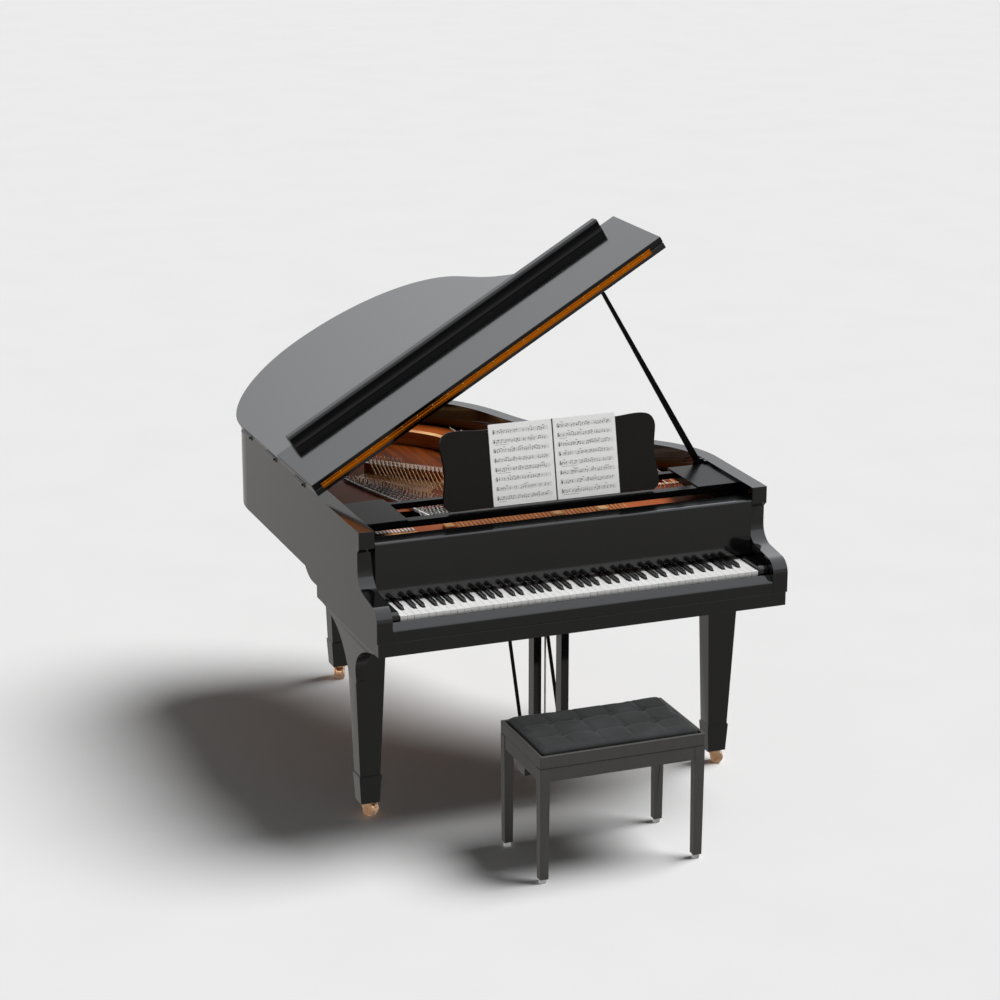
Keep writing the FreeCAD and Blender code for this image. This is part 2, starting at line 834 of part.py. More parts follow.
def make_lid():
    """The main lid, the front flap folded back on it and the flap's batten."""
    outline = shifted(plan(-size.lid_overhang, size.lid_front), size.lid_hinge_x)
    on_lid(pad("main_lid", "XY", [outline], 0, "lid_thickness"))
    wide = 2 * size.half_width + 2 * size.lid_overhang
    flap = rectangle(-mm(1.3), wide - mm(1.3), size.lid_front, size.lid_front + size.flap_depth)
    low, high = "lid_thickness + flap_gap", "2 * lid_thickness + flap_gap"
    on_lid(pad("front_lid", "XY", [flap], low, high))
    # The flap's front moulding, which stands on its far edge while it is folded back.
    front, rear = size.lid_front + size.batten_front, size.lid_front + size.flap_depth - mm(3)
    foot = 2 * size.lid_thickness + size.flap_gap
    top = foot + size.batten_height
    lip, nose, swell = mm(11), mm(3), mm(4)
    profile = [
        spline([(front, foot), (front + swell, foot + size.batten_height / 2), (front + nose, top - lip)]),
        arc((front + nose, top - lip), (front + mm(6), top - nose), (front + lip + nose, top)),
        line((front + lip + nose, top), (rear - lip, top - nose)),
        arc((rear - lip, top - nose), (rear - nose, top - mm(6)), (rear, top - lip - nose)),
        line((rear, top - lip - nose), (rear, foot)),
        line((rear, foot), (front, foot)),
    ]
    on_lid(pad("lid_batten", "YZ", [profile], "batten_start", "batten_end"))
    make_leaves()


def make_leaves():
    """The two brass leaves of the continuous hinge on the front edges of lid and flap."""
    middle = size.lid_thickness + size.flap_gap / 2
    front, deep = size.lid_front, size.leaf_depth
    tall = size.leaf_height
    apart = mm(1)
    for name, low in (("lid_leaf", middle - apart - tall), ("flap_leaf", middle + apart)):
        section = rectangle(front - deep, front, low, low + tall)
        on_lid(pad(name, "YZ", [section], "leaf_inset", "leaf_end"))


def make_butts():
    """Rim hinges: barrels beside the rim's top edge, each on a leaf down the rim's bass side."""
    pieces = []
    for n, y in enumerate((720, 1040, 1330)):
        at = ("-half_width - butt_out", y, "rim_top + butt_up")
        pieces.append(cylinder(f"butt_barrel_{n}", "butt_radius", "butt_length", at, ALONG_Y))
        thick, long = ("-half_width - butt_leaf", "-half_width"), (y, f"{y} + butt_length")
        pieces.append(box(f"butt_plate_{n}", thick, long, ("rim_top - 8", "rim_top + 3")))
    fuse("rim_butts", pieces)


def make_prop():
    """A flat tapered stick on a pivot at the treble rim; its tip stands under the lid."""
    foot, tip, length = size.prop_foot / 2, size.prop_tip / 2, size.prop_length
    outline = [
        line((-foot, 0), (-tip, length - tip)),
        arc((-tip, length - tip), (0, length), (tip, length - tip)),
        line((tip, length - tip), (foot, 0)),
        arc((foot, 0), (0, -foot), (-foot, 0)),
    ]
    across = size.prop_tip_y - size.prop_y
    lean = FreeCAD.Rotation(ALONG_Y, -size.prop_lean)
    nod = FreeCAD.Rotation(ALONG_X, -math.degrees(math.asin(across / length)))
    turned = lean.multiply(nod)
    blank = pad("prop_blank", "XZ", [outline], "-prop_thickness / 2", "prop_thickness / 2", False)
    at = (0, "-prop_thickness", 0)
    eye = cylinder("prop_eye", "prop_pin + running_gap", "2 * prop_thickness", at, ALONG_Y)
    stick = cut("prop_stick", blank, eye)
    stick.Placement.Rotation = turned
    stand(stick, "prop_x", "prop_y", "prop_z")
    # Its bracket: a wall plate on the rim, an ear behind the stick and a pin along its axis.
    wide = "half_width - rim_wall"
    back = "prop_y + 15"
    ear = box("prop_ear", ("prop_x - 14", wide), ("prop_y + 7", back), ("prop_z - 40", "prop_z + 9"))
    wall = box("prop_wall", (f"{wide} - 8", wide), ("prop_y - 14", back), ("prop_z - 60", "prop_z + 6"))
    axis = turned.multVec(ALONG_Y)
    before = "(prop_thickness / 2 + 2)"
    at = [f"{word} - {share:.6f} * {before}" for word, share in zip(("prop_x", "prop_y", "prop_z"), axis)]
    pin = cylinder("prop_pivot", "prop_pin", "prop_thickness + 10", at, axis)
    fuse("prop_bracket", [ear, wall, pin])


# ---------------------------------------------------------------- legs, casters, lyre


def leg_bracket(name, side):
    """The bracket between a front leg and the keybed: a hollow curve behind the leg and, on the
    bass side, before it.

    Its outer face leans in from the keybed's edge to the leg's own face.
    """
    front = [(mm(y), mm(z)) for y, z in ((34, 670), (146, 641), (226, 603), (278, 556), (303, 480))]
    rear = [(mm(y), mm(z)) for y, z in ((381, 480), (390, 560), (428, 622), (511, 660), (622, 670))]
    if side < 0:
        outline = [spline(front), line(front[-1], rear[0]), spline(rear), line(rear[-1], front[0])]
    else:
        start, rise = (size.leg_y, rear[0][1]), (size.leg_y, rear[-1][1])
        outline = [line(rise, start), line(start, rear[0]), spline(rear), line(rear[-1], rise)]
    low, high = sorted((side * DIMENSIONS["bracket_inner"], side * DIMENSIONS["bracket_outer"]))
    curved = pad(f"{name}_curve", "YZ", [outline], low, high, False)
    foot, top = front[-1][1], size.bed_bottom
    grown = (foot - size.foot_top) / (top - size.foot_top)
    face = size.leg_x + (size.shank_width + grown * (size.leg_top_width - size.shank_width)) / 2
    inner, outer = size.bracket_inner, size.bracket_outer
    section = [(side * x, z) for x, z in ((inner, foot), (face, foot), (outer, top), (inner, top))]
    lean = pad(f"{name}_lean", "XZ", [polygon(*section)], 0, "bed_rear", False)
    return common(name, curved, lean)


def leg(name, x, y, foot_y, top, pieces=()):
    """A tapered leg on a foot block, with a socket for the caster's stem."""
    foot = wedge(
        f"{name}_foot", (x, foot_y, "foot_bottom"),
        ("foot_width", "foot_depth"), ("ankle_width", "ankle_depth"), "foot_top - foot_bottom",
    )
    shank = loft_leg(f"{name}_shank", x, foot_y, y, top)
    solid = fuse(f"{name}_solid", [foot, shank, *pieces], part=False)
    socket = cylinder(
        f"{name}_socket", "stem_radius + running_gap", "stem_length + 4", (x, foot_y, "foot_bottom"),
    )
    cut(name, solid, socket)


def loft_leg(name, x, foot_y, top_y, top):
    """The shank, lofted between two rectangles whose centres may differ in y."""
    body = doc.addObject("PartDesign::Body", name)
    origin = next(o for o in body.Origin.OriginFeatures if o.Role == "XY_Plane")
    sketches = []
    ends = (
        ("low", foot_y, "foot_top", size.shank_width, size.shank_depth),
        ("high", top_y, top, size.leg_top_width, size.leg_top_depth),
    )
    for end, y, z, width, depth in ends:
        sketch = body.newObject("Sketcher::SketchObject", f"{name}_{end}")
        sketch.AttachmentSupport = [(origin, "")]
        sketch.MapMode = "FlatFace"
        for axis, formula in (("x", x), ("y", y), ("z", z)):
            sketch.setExpression(f".AttachmentOffset.Base.{axis}", bound(formula))
        sketch.addGeometry(rectangle(-width / 2, width / 2, -depth / 2, depth / 2), False)
        sketches.append(sketch)
    solid = body.newObject("PartDesign::AdditiveLoft", f"{name}_loft")
    solid.Profile = sketches[0]
    solid.Sections = [sketches[1]]
    solid.Ruled = True
    body.Tip = solid
    return body


def make_legs():
    for name, x, side in (("right", "leg_x", 1), ("left", "-leg_x", -1)):
        bracket = leg_bracket(f"bracket_{name}", side)
        leg(f"leg_{name}", x, "leg_y", "leg_foot_y", "bed_bottom", [bracket])
    leg("leg_rear", "rear_leg_x", "rear_leg_y", "rear_leg_y", "rear_leg_top")


# Where each caster's stem stands, and how far the caster is turned from trailing to the front.
CASTERS = {
    "left": ("-leg_x", "leg_foot_y", 38),
    "right": ("leg_x", "leg_foot_y", 69),
    "rear": ("rear_leg_x", "rear_leg_y", -21),
}


def caster_cheek():
    """A cheek's side view: a flat top under the plate, drawn in to a disc round the axle."""
    top, hub, radius = size.foot_bottom - size.running_gap - mm(2), size.wheel_radius, size.cheek_radius
    across, rise = radius * math.cos(math.radians(10)), radius * math.sin(math.radians(10))
    back, front = mm(18), mm(-22)
    trail = -size.caster_trail
    return [
        line((front, top), (trail - across, hub + rise)),
        arc((trail - across, hub + rise), (trail, hub - radius), (trail + across, hub + rise)),
        line((trail + across, hub + rise), (back, top)),
        line((back, top), (front, top)),
    ]


def make_casters():
    """Each caster: a round plate with a stem, two cheeks and an axle, and a wheel trailing it."""
    inner = "wheel_width / 2 + cheek_gap"
    outer = f"{inner} + cheek_width"
    under = "foot_bottom - running_gap"
    for name, (x, y, angle) in CASTERS.items():
        axle_end = (f"-({outer})", "-caster_trail", "wheel_radius")
        pieces = [
            cylinder(f"disc_{name}", "plate_radius", 4, (0, 0, f"{under} - 4")),
            cylinder(f"stem_{name}", "stem_radius", "stem_length + 3", (0, 0, f"{under} - 3")),
            cylinder(f"axle_{name}", "axle_radius", f"2 * ({outer})", axle_end, ALONG_X),
        ]
        for side, low in (("right", inner), ("left", f"-({outer})")):
            high = f"{low} + cheek_width"
            pieces.append(pad(f"cheek_{side}_{name}", "YZ", [caster_cheek()], low, high, False))
        fork = fuse(f"caster_fork_{name}", pieces)
        at = ("-wheel_width / 2", "-caster_trail", "wheel_radius")
        tyre = cylinder(f"tyre_{name}", "wheel_radius", "wheel_width", at, ALONG_X)
        at = ("-wheel_width / 2 - 1", "-caster_trail", "wheel_radius")
        bore = cylinder(f"bore_{name}", "wheel_hub", "wheel_width + 2", at, ALONG_X)
        wheel = cut(f"caster_wheel_{name}", tyre, bore)
        for thing in (fork, wheel):
            thing.Placement.Rotation = FreeCAD.Rotation(VERTICAL, angle)
            stand(thing, x, y)


def make_lyre():
    """The lyre: a head under the keybed, two posts and a slotted box for the pedals."""
    wide = ("-lyre_half", "lyre_half")
    head = box("lyre_head", wide, ("post_front - 16", "post_rear + 16"), ("lyre_head_z", "bed_bottom"))
    posts = [
        box(f"post_{n}", (low, high), ("post_front", "post_rear"), ("pedal_box_top", "lyre_head_z"))
        for n, (low, high) in enumerate((("-post_outer", "-post_inner"), ("post_inner", "post_outer")))
    ]
    tall = ("pedal_box_bottom", "pedal_box_top")
    casing = box("pedal_casing", wide, ("post_front - 18", "post_rear + 4"), tall)
    half = "(pedal_half_width + slot_margin)"
    deep = ("post_front - 20", "post_rear - 3")
    high = ("pedal_z - slot_half_height", "pedal_z + slot_half_height")
    slots = [
        box(f"slot_{n}", (f"{n} * pedal_pitch - {half}", f"{n} * pedal_pitch + {half}"), deep, high)
        for n in (-1, 0, 1)
    ]
    slotted = cut("pedal_box", casing, fuse("slots", slots, part=False), part=False)
    at = ("5 - lyre_half", "pedal_pivot_y", "pedal_z")
    axle = cylinder("pedal_rod", "pedal_axle", "2 * lyre_half - 10", at, ALONG_X)
    fuse("lyre", [head, slotted, axle, *posts])
    names = {-1: "pedal_left", 0: "pedal_middle", 1: "pedal_right"}
    for n, name in names.items():
        pedal(name, n)
    rods = []
    above = Part.makeBox(mm(400), mm(400), mm(100), FreeCAD.Vector(mm(-200), mm(500), size.bed_bottom))
    for side in (-1, 1):
        x = side * size.brace_x
        start = FreeCAD.Vector(x, size.brace_y + size.brace_radius, size.pedal_box_bottom + mm(30))
        rod = FreeCAD.Vector(x, size.brace_top_y, size.bed_bottom) - start
        rods.append(Part.makeCylinder(size.brace_radius, rod.Length * 1.05, start, rod).cut(above))
    computed("lyre_braces", Part.makeCompound(rods))


def pedal(name, n):
    """A pedal: a flat lever with a broad rounded toe."""
    centre = n * size.pedal_pitch
    half, toe = size.pedal_half_width * 0.62, size.pedal_half_width
    front, rear, neck = size.pedal_front, size.pedal_rear, size.pedal_front + mm(46)
    outline = [
        arc((centre - toe, front + toe), (centre, front), (centre + toe, front + toe)),
        line((centre + toe, front + toe), (centre + half, neck)),
        line((centre + half, neck), (centre + half, rear)),
        line((centre + half, rear), (centre - half, rear)),
        line((centre - half, rear), (centre - half, neck)),
        line((centre - half, neck), (centre - toe, front + toe)),
    ]
    low, high = "pedal_z - pedal_thickness / 2", "pedal_z + pedal_thickness / 2"
    lever = pad(f"{name}_lever", "XY", [outline], low, high, False)
    at = (f"{n} * pedal_pitch - pedal_half_width", "pedal_pivot_y", "pedal_z")
    eye = cylinder(f"{name}_eye", "pedal_axle + running_gap", "2 * pedal_half_width", at, ALONG_X)
    cut(name, lever, eye)


# ---------------------------------------------------------------- stool


def make_stool():
    """Four tapered legs on glides, a shallow apron, and a seat frame with a cushion in its well."""
    corners = [
        (x, y)
        for x in (("stool_left", 1), ("stool_right", -1))
        for y in (("stool_front", 1), ("stool_rear", -1))
    ]
    pieces, glides = [], []
    for n, ((x, inward), (y, back)) in enumerate(corners):
        centre_x = f"{x} + {inward} * stool_leg_width / 2"
        centre_y = f"{y} + {back} * stool_leg_width / 2"
        pieces.append(
            wedge(
                f"stool_leg_{n}", (centre_x, centre_y, "stool_leg_z"),
                ("stool_foot_width", "stool_foot_width"), ("stool_leg_width", "stool_leg_width"),
                "stool_seat_z - stool_gap - stool_leg_z",
            )
        )
        glides.append(cylinder(f"glide_{n}", "glide_radius", "stool_leg_z", (centre_x, centre_y, 0)))

    def block(name, inset, low, high, part=False):
        across = (f"stool_left + {inset}", f"stool_right - ({inset})")
        along = (f"stool_front + {inset}", f"stool_rear - ({inset})")
        return box(name, across, along, (low, high), part)

    outside = block("apron_outside", 2, "stool_apron_z", "stool_seat_z - stool_gap")
    inside = block("apron_inside", 24, "stool_apron_z + 8", "stool_seat_z")
    fuse("stool_frame", [cut("stool_apron", outside, inside, part=False), *pieces])
    fuse("stool_glides", glides)
    floor = "stool_seat_z + stool_board"
    rim = block("seat_rim", 0, "stool_seat_z", "stool_top")
    cut("seat_frame", rim, block("seat_well", "cushion_inset - 3", floor, "stool_top + 5"))
    block("cushion", "cushion_inset", floor, "cushion_top", part=True)


# ---------------------------------------------------------------- build, check and write

for make in (
    make_rim, make_structure, make_plate, make_bridges, make_strings, make_keyboard, make_keys,
    make_fallboard, make_stretcher, make_shelf, make_desk, make_lid, make_butts, make_prop, make_legs,
    make_casters, make_lyre, make_stool,
):
    make()
doc.recompute()

for thing in doc.Objects:
    if {"Invalid", "Error"} & set(thing.State):
        raise RuntimeError(f"{thing.Label} failed: {thing.State}")
os.makedirs("parts", exist_ok=True)
for label, thing in parts.items():
    shape = thing.Shape
    if shape.isNull() or not shape.isValid() or not shape.Solids:
        raise RuntimeError(f"{label} has no valid shape")
    shape.exportStep(f"parts/{label}.step")
    print(f"{label:20s} {shape.Volume:9.2f} mm3  {len(shape.Solids)} solids")
print(len(parts), "sub-parts")
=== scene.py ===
"""A dolls' house grand piano with its stool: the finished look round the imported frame.

Lengths are written in millimetres of the full-size instrument, which is twelve times as large,
and P() turns a full-size place into the frame's metres. X runs to the treble side, Y to the tail
and Z up; X is zero on the case's centre line and Y at the front of its arms.
"""

import json
import math
import random

import bmesh
import bpy
from mathutils import Matrix, Vector

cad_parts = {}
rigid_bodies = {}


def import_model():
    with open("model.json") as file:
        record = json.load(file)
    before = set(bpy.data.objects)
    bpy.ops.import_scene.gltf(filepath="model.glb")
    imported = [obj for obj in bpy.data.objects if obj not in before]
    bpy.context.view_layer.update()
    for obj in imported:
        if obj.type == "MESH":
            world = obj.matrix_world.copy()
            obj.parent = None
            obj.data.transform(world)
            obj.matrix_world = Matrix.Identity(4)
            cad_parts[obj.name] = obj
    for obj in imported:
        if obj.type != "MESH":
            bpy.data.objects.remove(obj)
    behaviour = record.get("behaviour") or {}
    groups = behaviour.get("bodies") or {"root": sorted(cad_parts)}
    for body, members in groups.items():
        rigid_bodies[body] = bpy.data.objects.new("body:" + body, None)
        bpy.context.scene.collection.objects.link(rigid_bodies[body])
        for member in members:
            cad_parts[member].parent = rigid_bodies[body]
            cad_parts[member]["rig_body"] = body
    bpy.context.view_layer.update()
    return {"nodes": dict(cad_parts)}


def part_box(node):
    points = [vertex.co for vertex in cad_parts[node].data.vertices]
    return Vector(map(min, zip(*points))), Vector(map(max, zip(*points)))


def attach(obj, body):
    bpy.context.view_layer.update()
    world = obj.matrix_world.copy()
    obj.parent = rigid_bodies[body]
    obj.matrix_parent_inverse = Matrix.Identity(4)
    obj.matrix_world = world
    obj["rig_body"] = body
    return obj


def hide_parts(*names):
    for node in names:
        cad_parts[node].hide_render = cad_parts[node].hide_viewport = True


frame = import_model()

MM = 0.001 / 12
rim_low, rim_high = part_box("rim")
CENTRE_X = (rim_low.x + rim_high.x) / 2
FRONT_Y = rim_low.y


def P(x, y, z):
    """A full-size place in the frame's metres."""
    return Vector((CENTRE_X + x * MM, FRONT_Y + y * MM, z * MM))


def full_box(node):
    """A node's lowest and highest corners as full-size places."""
    low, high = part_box(node)
    return [((c.x - CENTRE_X) / MM, (c.y - FRONT_Y) / MM, c.z / MM) for c in (low, high)]


# ---------------------------------------------------------------- materials


def linear(colour):
    """A hex colour as a linear RGBA."""
    parts = [int(colour[i : i + 2], 16) / 255 for i in (1, 3, 5)]
    return [p / 12.92 if p <= 0.04045 else ((p + 0.055) / 1.055) ** 2.4 for p in parts] + [1]


class Material:
    """A Principled material whose colour, roughness and bump come from procedural nodes.

    Textures are laid out in full-size metres, so their scales are cycles per full-size metre.
    """

    def __init__(self, name, colour, roughness, **sockets):
        self.block = bpy.data.materials.new(name)
        self.block.use_nodes = True
        self.tree = self.block.node_tree
        self.shader = self.tree.nodes["Principled BSDF"]
        self.shader.inputs["Base Color"].default_value = linear(colour)
        self.shader.inputs["Roughness"].default_value = roughness
        for socket, value in sockets.items():
            self.shader.inputs[socket.replace("_", " ")].default_value = value
        self.coordinates = self.add("ShaderNodeTexCoord").outputs["Object"]
        self.normal = None

    def add(self, kind, **inputs):
        node = self.tree.nodes.new(kind)
        for key, value in inputs.items():
            socket = node.inputs[key.replace("_", " ")]
            if isinstance(value, bpy.types.NodeSocket):
                self.tree.links.new(value, socket)
            else:
                socket.default_value = value
        return node

    def place(self, stretch=(1, 1, 1), turn=(0, 0, 0)):
        scale = [s / (MM * 1000) for s in stretch]
        turned = [math.radians(a) for a in turn]
        mapping = self.add("ShaderNodeMapping", Vector=self.coordinates, Scale=scale, Rotation=turned)
        return mapping.outputs["Vector"]

    def noise(self, scale, detail=3.0, stretch=(1, 1, 1), turn=(0, 0, 0), distortion=0.0):
        made = self.add(
            "ShaderNodeTexNoise", Vector=self.place(stretch, turn), Scale=scale, Detail=detail,
            Distortion=distortion,
        )
        return made.outputs["Fac"]

    def cells(self, scale):
        made = self.add("ShaderNodeTexVoronoi", Vector=self.place(), Scale=scale)
        return made.outputs["Distance"]

    def bands(self, scale, turn):
        where = self.place(turn=turn)
        made = self.add("ShaderNodeTexWave", Vector=where, Scale=scale, Distortion=0.0, Detail=0.0)
        return made.outputs["Fac"]

    def ramp(self, factor, *stops):
        node = self.add("ShaderNodeValToRGB", Fac=factor)
        elements = node.color_ramp.elements
        while len(elements) < len(stops):
            elements.new(0.5)
        for element, (position, colour) in zip(elements, stops):
            element.position = position
            element.color = linear(colour)
        return node.outputs["Color"]

    def span(self, factor, low, high):
        return self.add("ShaderNodeMapRange", Value=factor, To_Min=low, To_Max=high).outputs["Result"]

    def colour(self, factor, *stops):
        self.tree.links.new(self.ramp(factor, *stops), self.shader.inputs["Base Color"])
        return self

    def roughness(self, factor, low, high):
        self.tree.links.new(self.span(factor, low, high), self.shader.inputs["Roughness"])
        return self

    def bump(self, height, distance, strength=1.0):
        """Relief in full-size millimetres, added to any relief given before."""
        inputs = {"Height": height, "Distance": distance * MM, "Strength": strength}
        if self.normal:
            inputs["Normal"] = self.normal
        self.normal = self.add("ShaderNodeBump", **inputs).outputs["Normal"]
        self.tree.links.new(self.normal, self.shader.inputs["Normal"])
        return self


def make_lacquer():
    """Polished black polyester: deep, with a faint ripple and a little dust-soft haze."""
    made = Material("black_polish", "#060607", 0.09, IOR=1.5, Coat_Weight=0.25, Coat_Roughness=0.02)
    haze = made.noise(3.0, 4.0)
    made.colour(haze, (0.35, "#050506"), (0.75, "#09090b"))
    made.roughness(haze, 0.07, 0.15)
    return made.bump(made.noise(9.0, 1.0), 0.25, 0.5)


def make_dim_black(name, level, roughness):
    """Black lacquer that picks up less of the room."""
    made = Material(name, "#070708", roughness, IOR=1.5, Specular_IOR_Level=level)
    haze = made.noise(4.0, 4.0)
    made.colour(haze, (0.35, "#060606"), (0.75, "#0a0a0b"))
    made.roughness(haze, roughness * 0.8, roughness * 1.3)
    return made.bump(made.noise(12.0, 1.0), 0.2, 0.5)


def make_satin():
    """The satin black of the music desk: duller, with an even fine texture."""
    made = Material("black_satin", "#141110", 0.42, IOR=1.45, Specular_IOR_Level=0.2)
    speck = made.noise(160.0, 3.0)
    made.colour(speck, (0.3, "#120f0e"), (0.7, "#181514"))
    made.roughness(speck, 0.36, 0.5)
    return made.bump(made.noise(420.0, 2.0), 0.3, 0.35)


def make_mahogany():
    """Veneer with level grain along the case's walls, under varnish."""
    made = Material("mahogany_veneer", "#6b3412", 0.6, IOR=1.45, Specular_IOR_Level=0.0)
    grain = made.noise(3.2, 7.0, (1.2, 1.2, 16), distortion=0.6)
    made.colour(grain, (0.28, "#4a1a06"), (0.48, "#74300c"), (0.6, "#8a3e12"), (0.78, "#9e4d1a"))
    pores = made.noise(60.0, 4.0, (0.6, 0.6, 14))
    made.roughness(pores, 0.4, 0.6)
    return made.bump(pores, 0.5, 0.3)


def make_soundboard():
    """Quarter-sawn boards running along the bent side, under a red-brown varnish."""
    made = Material("varnished_spruce", "#6a310f", 0.5, IOR=1.45, Specular_IOR_Level=0.03)
    rings = made.noise(12.0, 5.0, (3, 0.25, 1), (0, 0, 38))
    made.colour(rings, (0.3, "#4a1f08"), (0.55, "#6a310f"), (0.8, "#834218"))
    made.roughness(rings, 0.4, 0.55)
    return made.bump(rings, 0.4, 0.2)


def make_beech():
    """Pale close-grained wood with short flecks."""
    made = Material("beech", "#c98a4e", 0.45, IOR=1.48)
    grain = made.noise(14.0, 6.0, (0.5, 1.0, 10), distortion=0.3)
    made.colour(grain, (0.3, "#c48350"), (0.52, "#dfa468"), (0.75, "#f2c68e"))
    made.roughness(grain, 0.38, 0.55)
    return made.bump(grain, 0.4, 0.25)


def make_bridge():
    """The bass bridge's warm orange varnish over figured wood."""
    made = Material("bridge_varnish", "#c8702c", 0.3, IOR=1.5, Coat_Weight=0.3, Coat_Roughness=0.1)
    grain = made.noise(18.0, 6.0, (1, 1, 8), (0, 0, 40))
    made.colour(grain, (0.3, "#a04a1c"), (0.55, "#c9763a"), (0.8, "#e09a58"))
    made.roughness(grain, 0.24, 0.4)
    return made.bump(grain, 0.3, 0.2)


def make_plate():
    """Cast iron under copper-brown bronzing: grainy, with darker hollows."""
    made = Material("copper_bronze", "#b35a27", 0.5, Metallic=0.1, Specular_IOR_Level=0.03)
    patch = made.noise(6.0, 5.0)
    made.colour(patch, (0.3, "#9c4a1c"), (0.55, "#b35a27"), (0.8, "#c66c35"))
    made.roughness(patch, 0.3, 0.46)
    return made.bump(made.noise(220.0, 3.0), 0.6, 0.35)


def make_metal(name, dark, light, roughness, brushed=(1, 1, 1), scale=40.0, metallic=1.0):
    """Plated or polished metal with faint tarnish and brushing."""
    made = Material(name, light, roughness, Metallic=metallic)
    tarnish = made.noise(scale, 4.0, brushed)
    made.colour(tarnish, (0.25, dark), (0.6, light))
    made.roughness(tarnish, roughness * 0.75, roughness * 1.35)
    return made.bump(made.noise(scale * 6, 2.0, brushed), 0.12, 0.25)


def make_wound_copper():
    """Copper winding on the bass strings: fine turns across each wire."""
    made = Material("wound_copper", "#e0a860", 0.3, Metallic=0.5)
    turns = made.bands(420.0, (0, 0, 55))
    made.colour(turns, (0.2, "#b9752c"), (0.7, "#f8cc8a"))
    made.roughness(turns, 0.22, 0.38)
    return made.bump(turns, 0.5, 0.6)


def make_ivory():
    """Polished white key coverings with a barely visible cloudiness."""
    made = Material(
        "key_white", "#f4f4f2", 0.16, IOR=1.5, Subsurface_Weight=0.03, Subsurface_Scale=2 * MM,
    )
    cloud = made.noise(20.0, 4.0)
    made.colour(cloud, (0.3, "#efefed"), (0.7, "#f8f8f7"))
    made.roughness(cloud, 0.12, 0.22)
    return made.bump(made.noise(90.0, 2.0), 0.1, 0.2)


def make_ebony():
    """Black sharps: close-grained along their length, with a soft sheen."""
    made = Material("key_black", "#0b0a0a", 0.24, IOR=1.5)
    grain = made.noise(30.0, 5.0, (8, 0.6, 8))
    made.colour(grain, (0.3, "#060606"), (0.75, "#141212"))
    made.roughness(grain, 0.18, 0.34)
    return made.bump(grain, 0.15, 0.3)


def make_paper():
    """Matt writing paper with fibres and a slight mottle, and a faint white glow: painted light that
    brightens the sheets.
    """
    # Emission Strength 0.1 makes the sheets glow faintly white: painted light, as the paper is no
    # lamp.
    made = Material("music_paper", "#f0f0ee", 0.85, IOR=1.3, Emission_Strength=0.1)
    fibre = made.noise(140.0, 6.0)
    made.colour(fibre, (0.3, "#eeeeec"), (0.7, "#f9f9f8"))
    made.roughness(fibre, 0.78, 0.92)
    return made.bump(fibre, 0.25, 0.35)


def make_ink():
    """Grey-black printing ink with an uneven lay."""
    made = Material("print_ink", "#3c3c3e", 0.6, IOR=1.4)
    speck = made.noise(300.0, 3.0)
    made.colour(speck, (0.3, "#2c2c2e"), (0.75, "#57575a"))
    return made.roughness(speck, 0.5, 0.75)


def make_stool_lacquer():
    """The stool's satin charcoal paint over fine open grain."""
    made = Material("charcoal_satin", "#3a3937", 0.36, IOR=1.5)
    grain = made.noise(26.0, 6.0, (6, 6, 0.7))
    made.colour(grain, (0.2, "#454442"), (0.8, "#4b4a48"))
    made.roughness(grain, 0.3, 0.44)
    return made.bump(grain, 0.35, 0.3)


def make_leather():
    """Dark slate leather: pebbled, a little lighter in random cloudy patches."""
    made = Material("slate_leather", "#222323", 0.6, IOR=1.4, Sheen_Weight=0.12, Sheen_Roughness=0.4)
    cloud = made.noise(9.0, 6.0)
    made.colour(cloud, (0.3, "#191919"), (0.55, "#242525"), (0.8, "#343536"))
    made.roughness(cloud, 0.5, 0.7)
    made.bump(made.cells(260.0), 0.9, 0.45)
    return made.bump(made.noise(60.0, 4.0), 0.8, 0.3)


def make_wine_felt():
    """Dark red woven felt with a soft nap."""
    made = Material("wine_felt", "#3a1416", 0.95, Sheen_Weight=0.3)
    fuzz = made.noise(500.0, 4.0)
    made.colour(fuzz, (0.3, "#2c0e10"), (0.7, "#4a1c1e"))
    return made.bump(fuzz, 0.6, 0.5)


LOOKS = {
    "black": make_lacquer(),
    "flap": make_dim_black("black_flap", 0.36, 0.1),
    "shelf": make_dim_black("black_shelf", 0.08, 0.2),
    "satin": make_satin(),
    "mahogany": make_mahogany(),
    "soundboard": make_soundboard(),
    "beech": make_beech(),
    "bridge": make_bridge(),
    "bronze": make_plate(),
    "steel": make_metal("bright_steel", "#d2cec8", "#fbf9f6", 0.22, metallic=0.45),
    "chrome": make_metal("chrome", "#cfd2d4", "#f0f2f4", 0.07),
    "copper": make_wound_copper(),
    "hinge": make_metal("hinge_brass", "#b46209", "#c8700f", 0.3, (0.3, 1, 1), 20.0),
    "caster": make_metal("caster_gold", "#cf9468", "#efc9a4", 0.2),
    "pedal": make_metal("pedal_gold", "#b98a3a", "#e6c071", 0.16),
    "ivory": make_ivory(),
    "ebony": make_ebony(),
    "paper": make_paper(),
    "ink": make_ink(),
    "charcoal": make_stool_lacquer(),
    "leather": make_leather(),
    "wine": make_wine_felt(),
}


# ---------------------------------------------------------------- mesh helpers


def piece(name, mesh, body, look, slot=None, replaces=(), bevel=0.0, segments=2, angle=30):
    """Put a mesh in the scene as a piece of a body, with its edges rounded and shaded smooth."""
    thing = bpy.data.objects.new(name, mesh)
    bpy.context.scene.collection.objects.link(thing)
    mesh.materials.clear()
    mesh.materials.append(LOOKS[look].block)
    if bevel:
        rounding = thing.modifiers.new("rounding", "BEVEL")
        rounding.width = bevel * MM
        rounding.segments = segments
        rounding.limit_method = "ANGLE"
        rounding.angle_limit = math.radians(angle)
        rounding.harden_normals = True
    mesh.shade_smooth()
    mesh.set_sharp_from_angle(angle=math.radians(angle))
    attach(thing, body)
    if replaces:
        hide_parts(*replaces)
    return thing


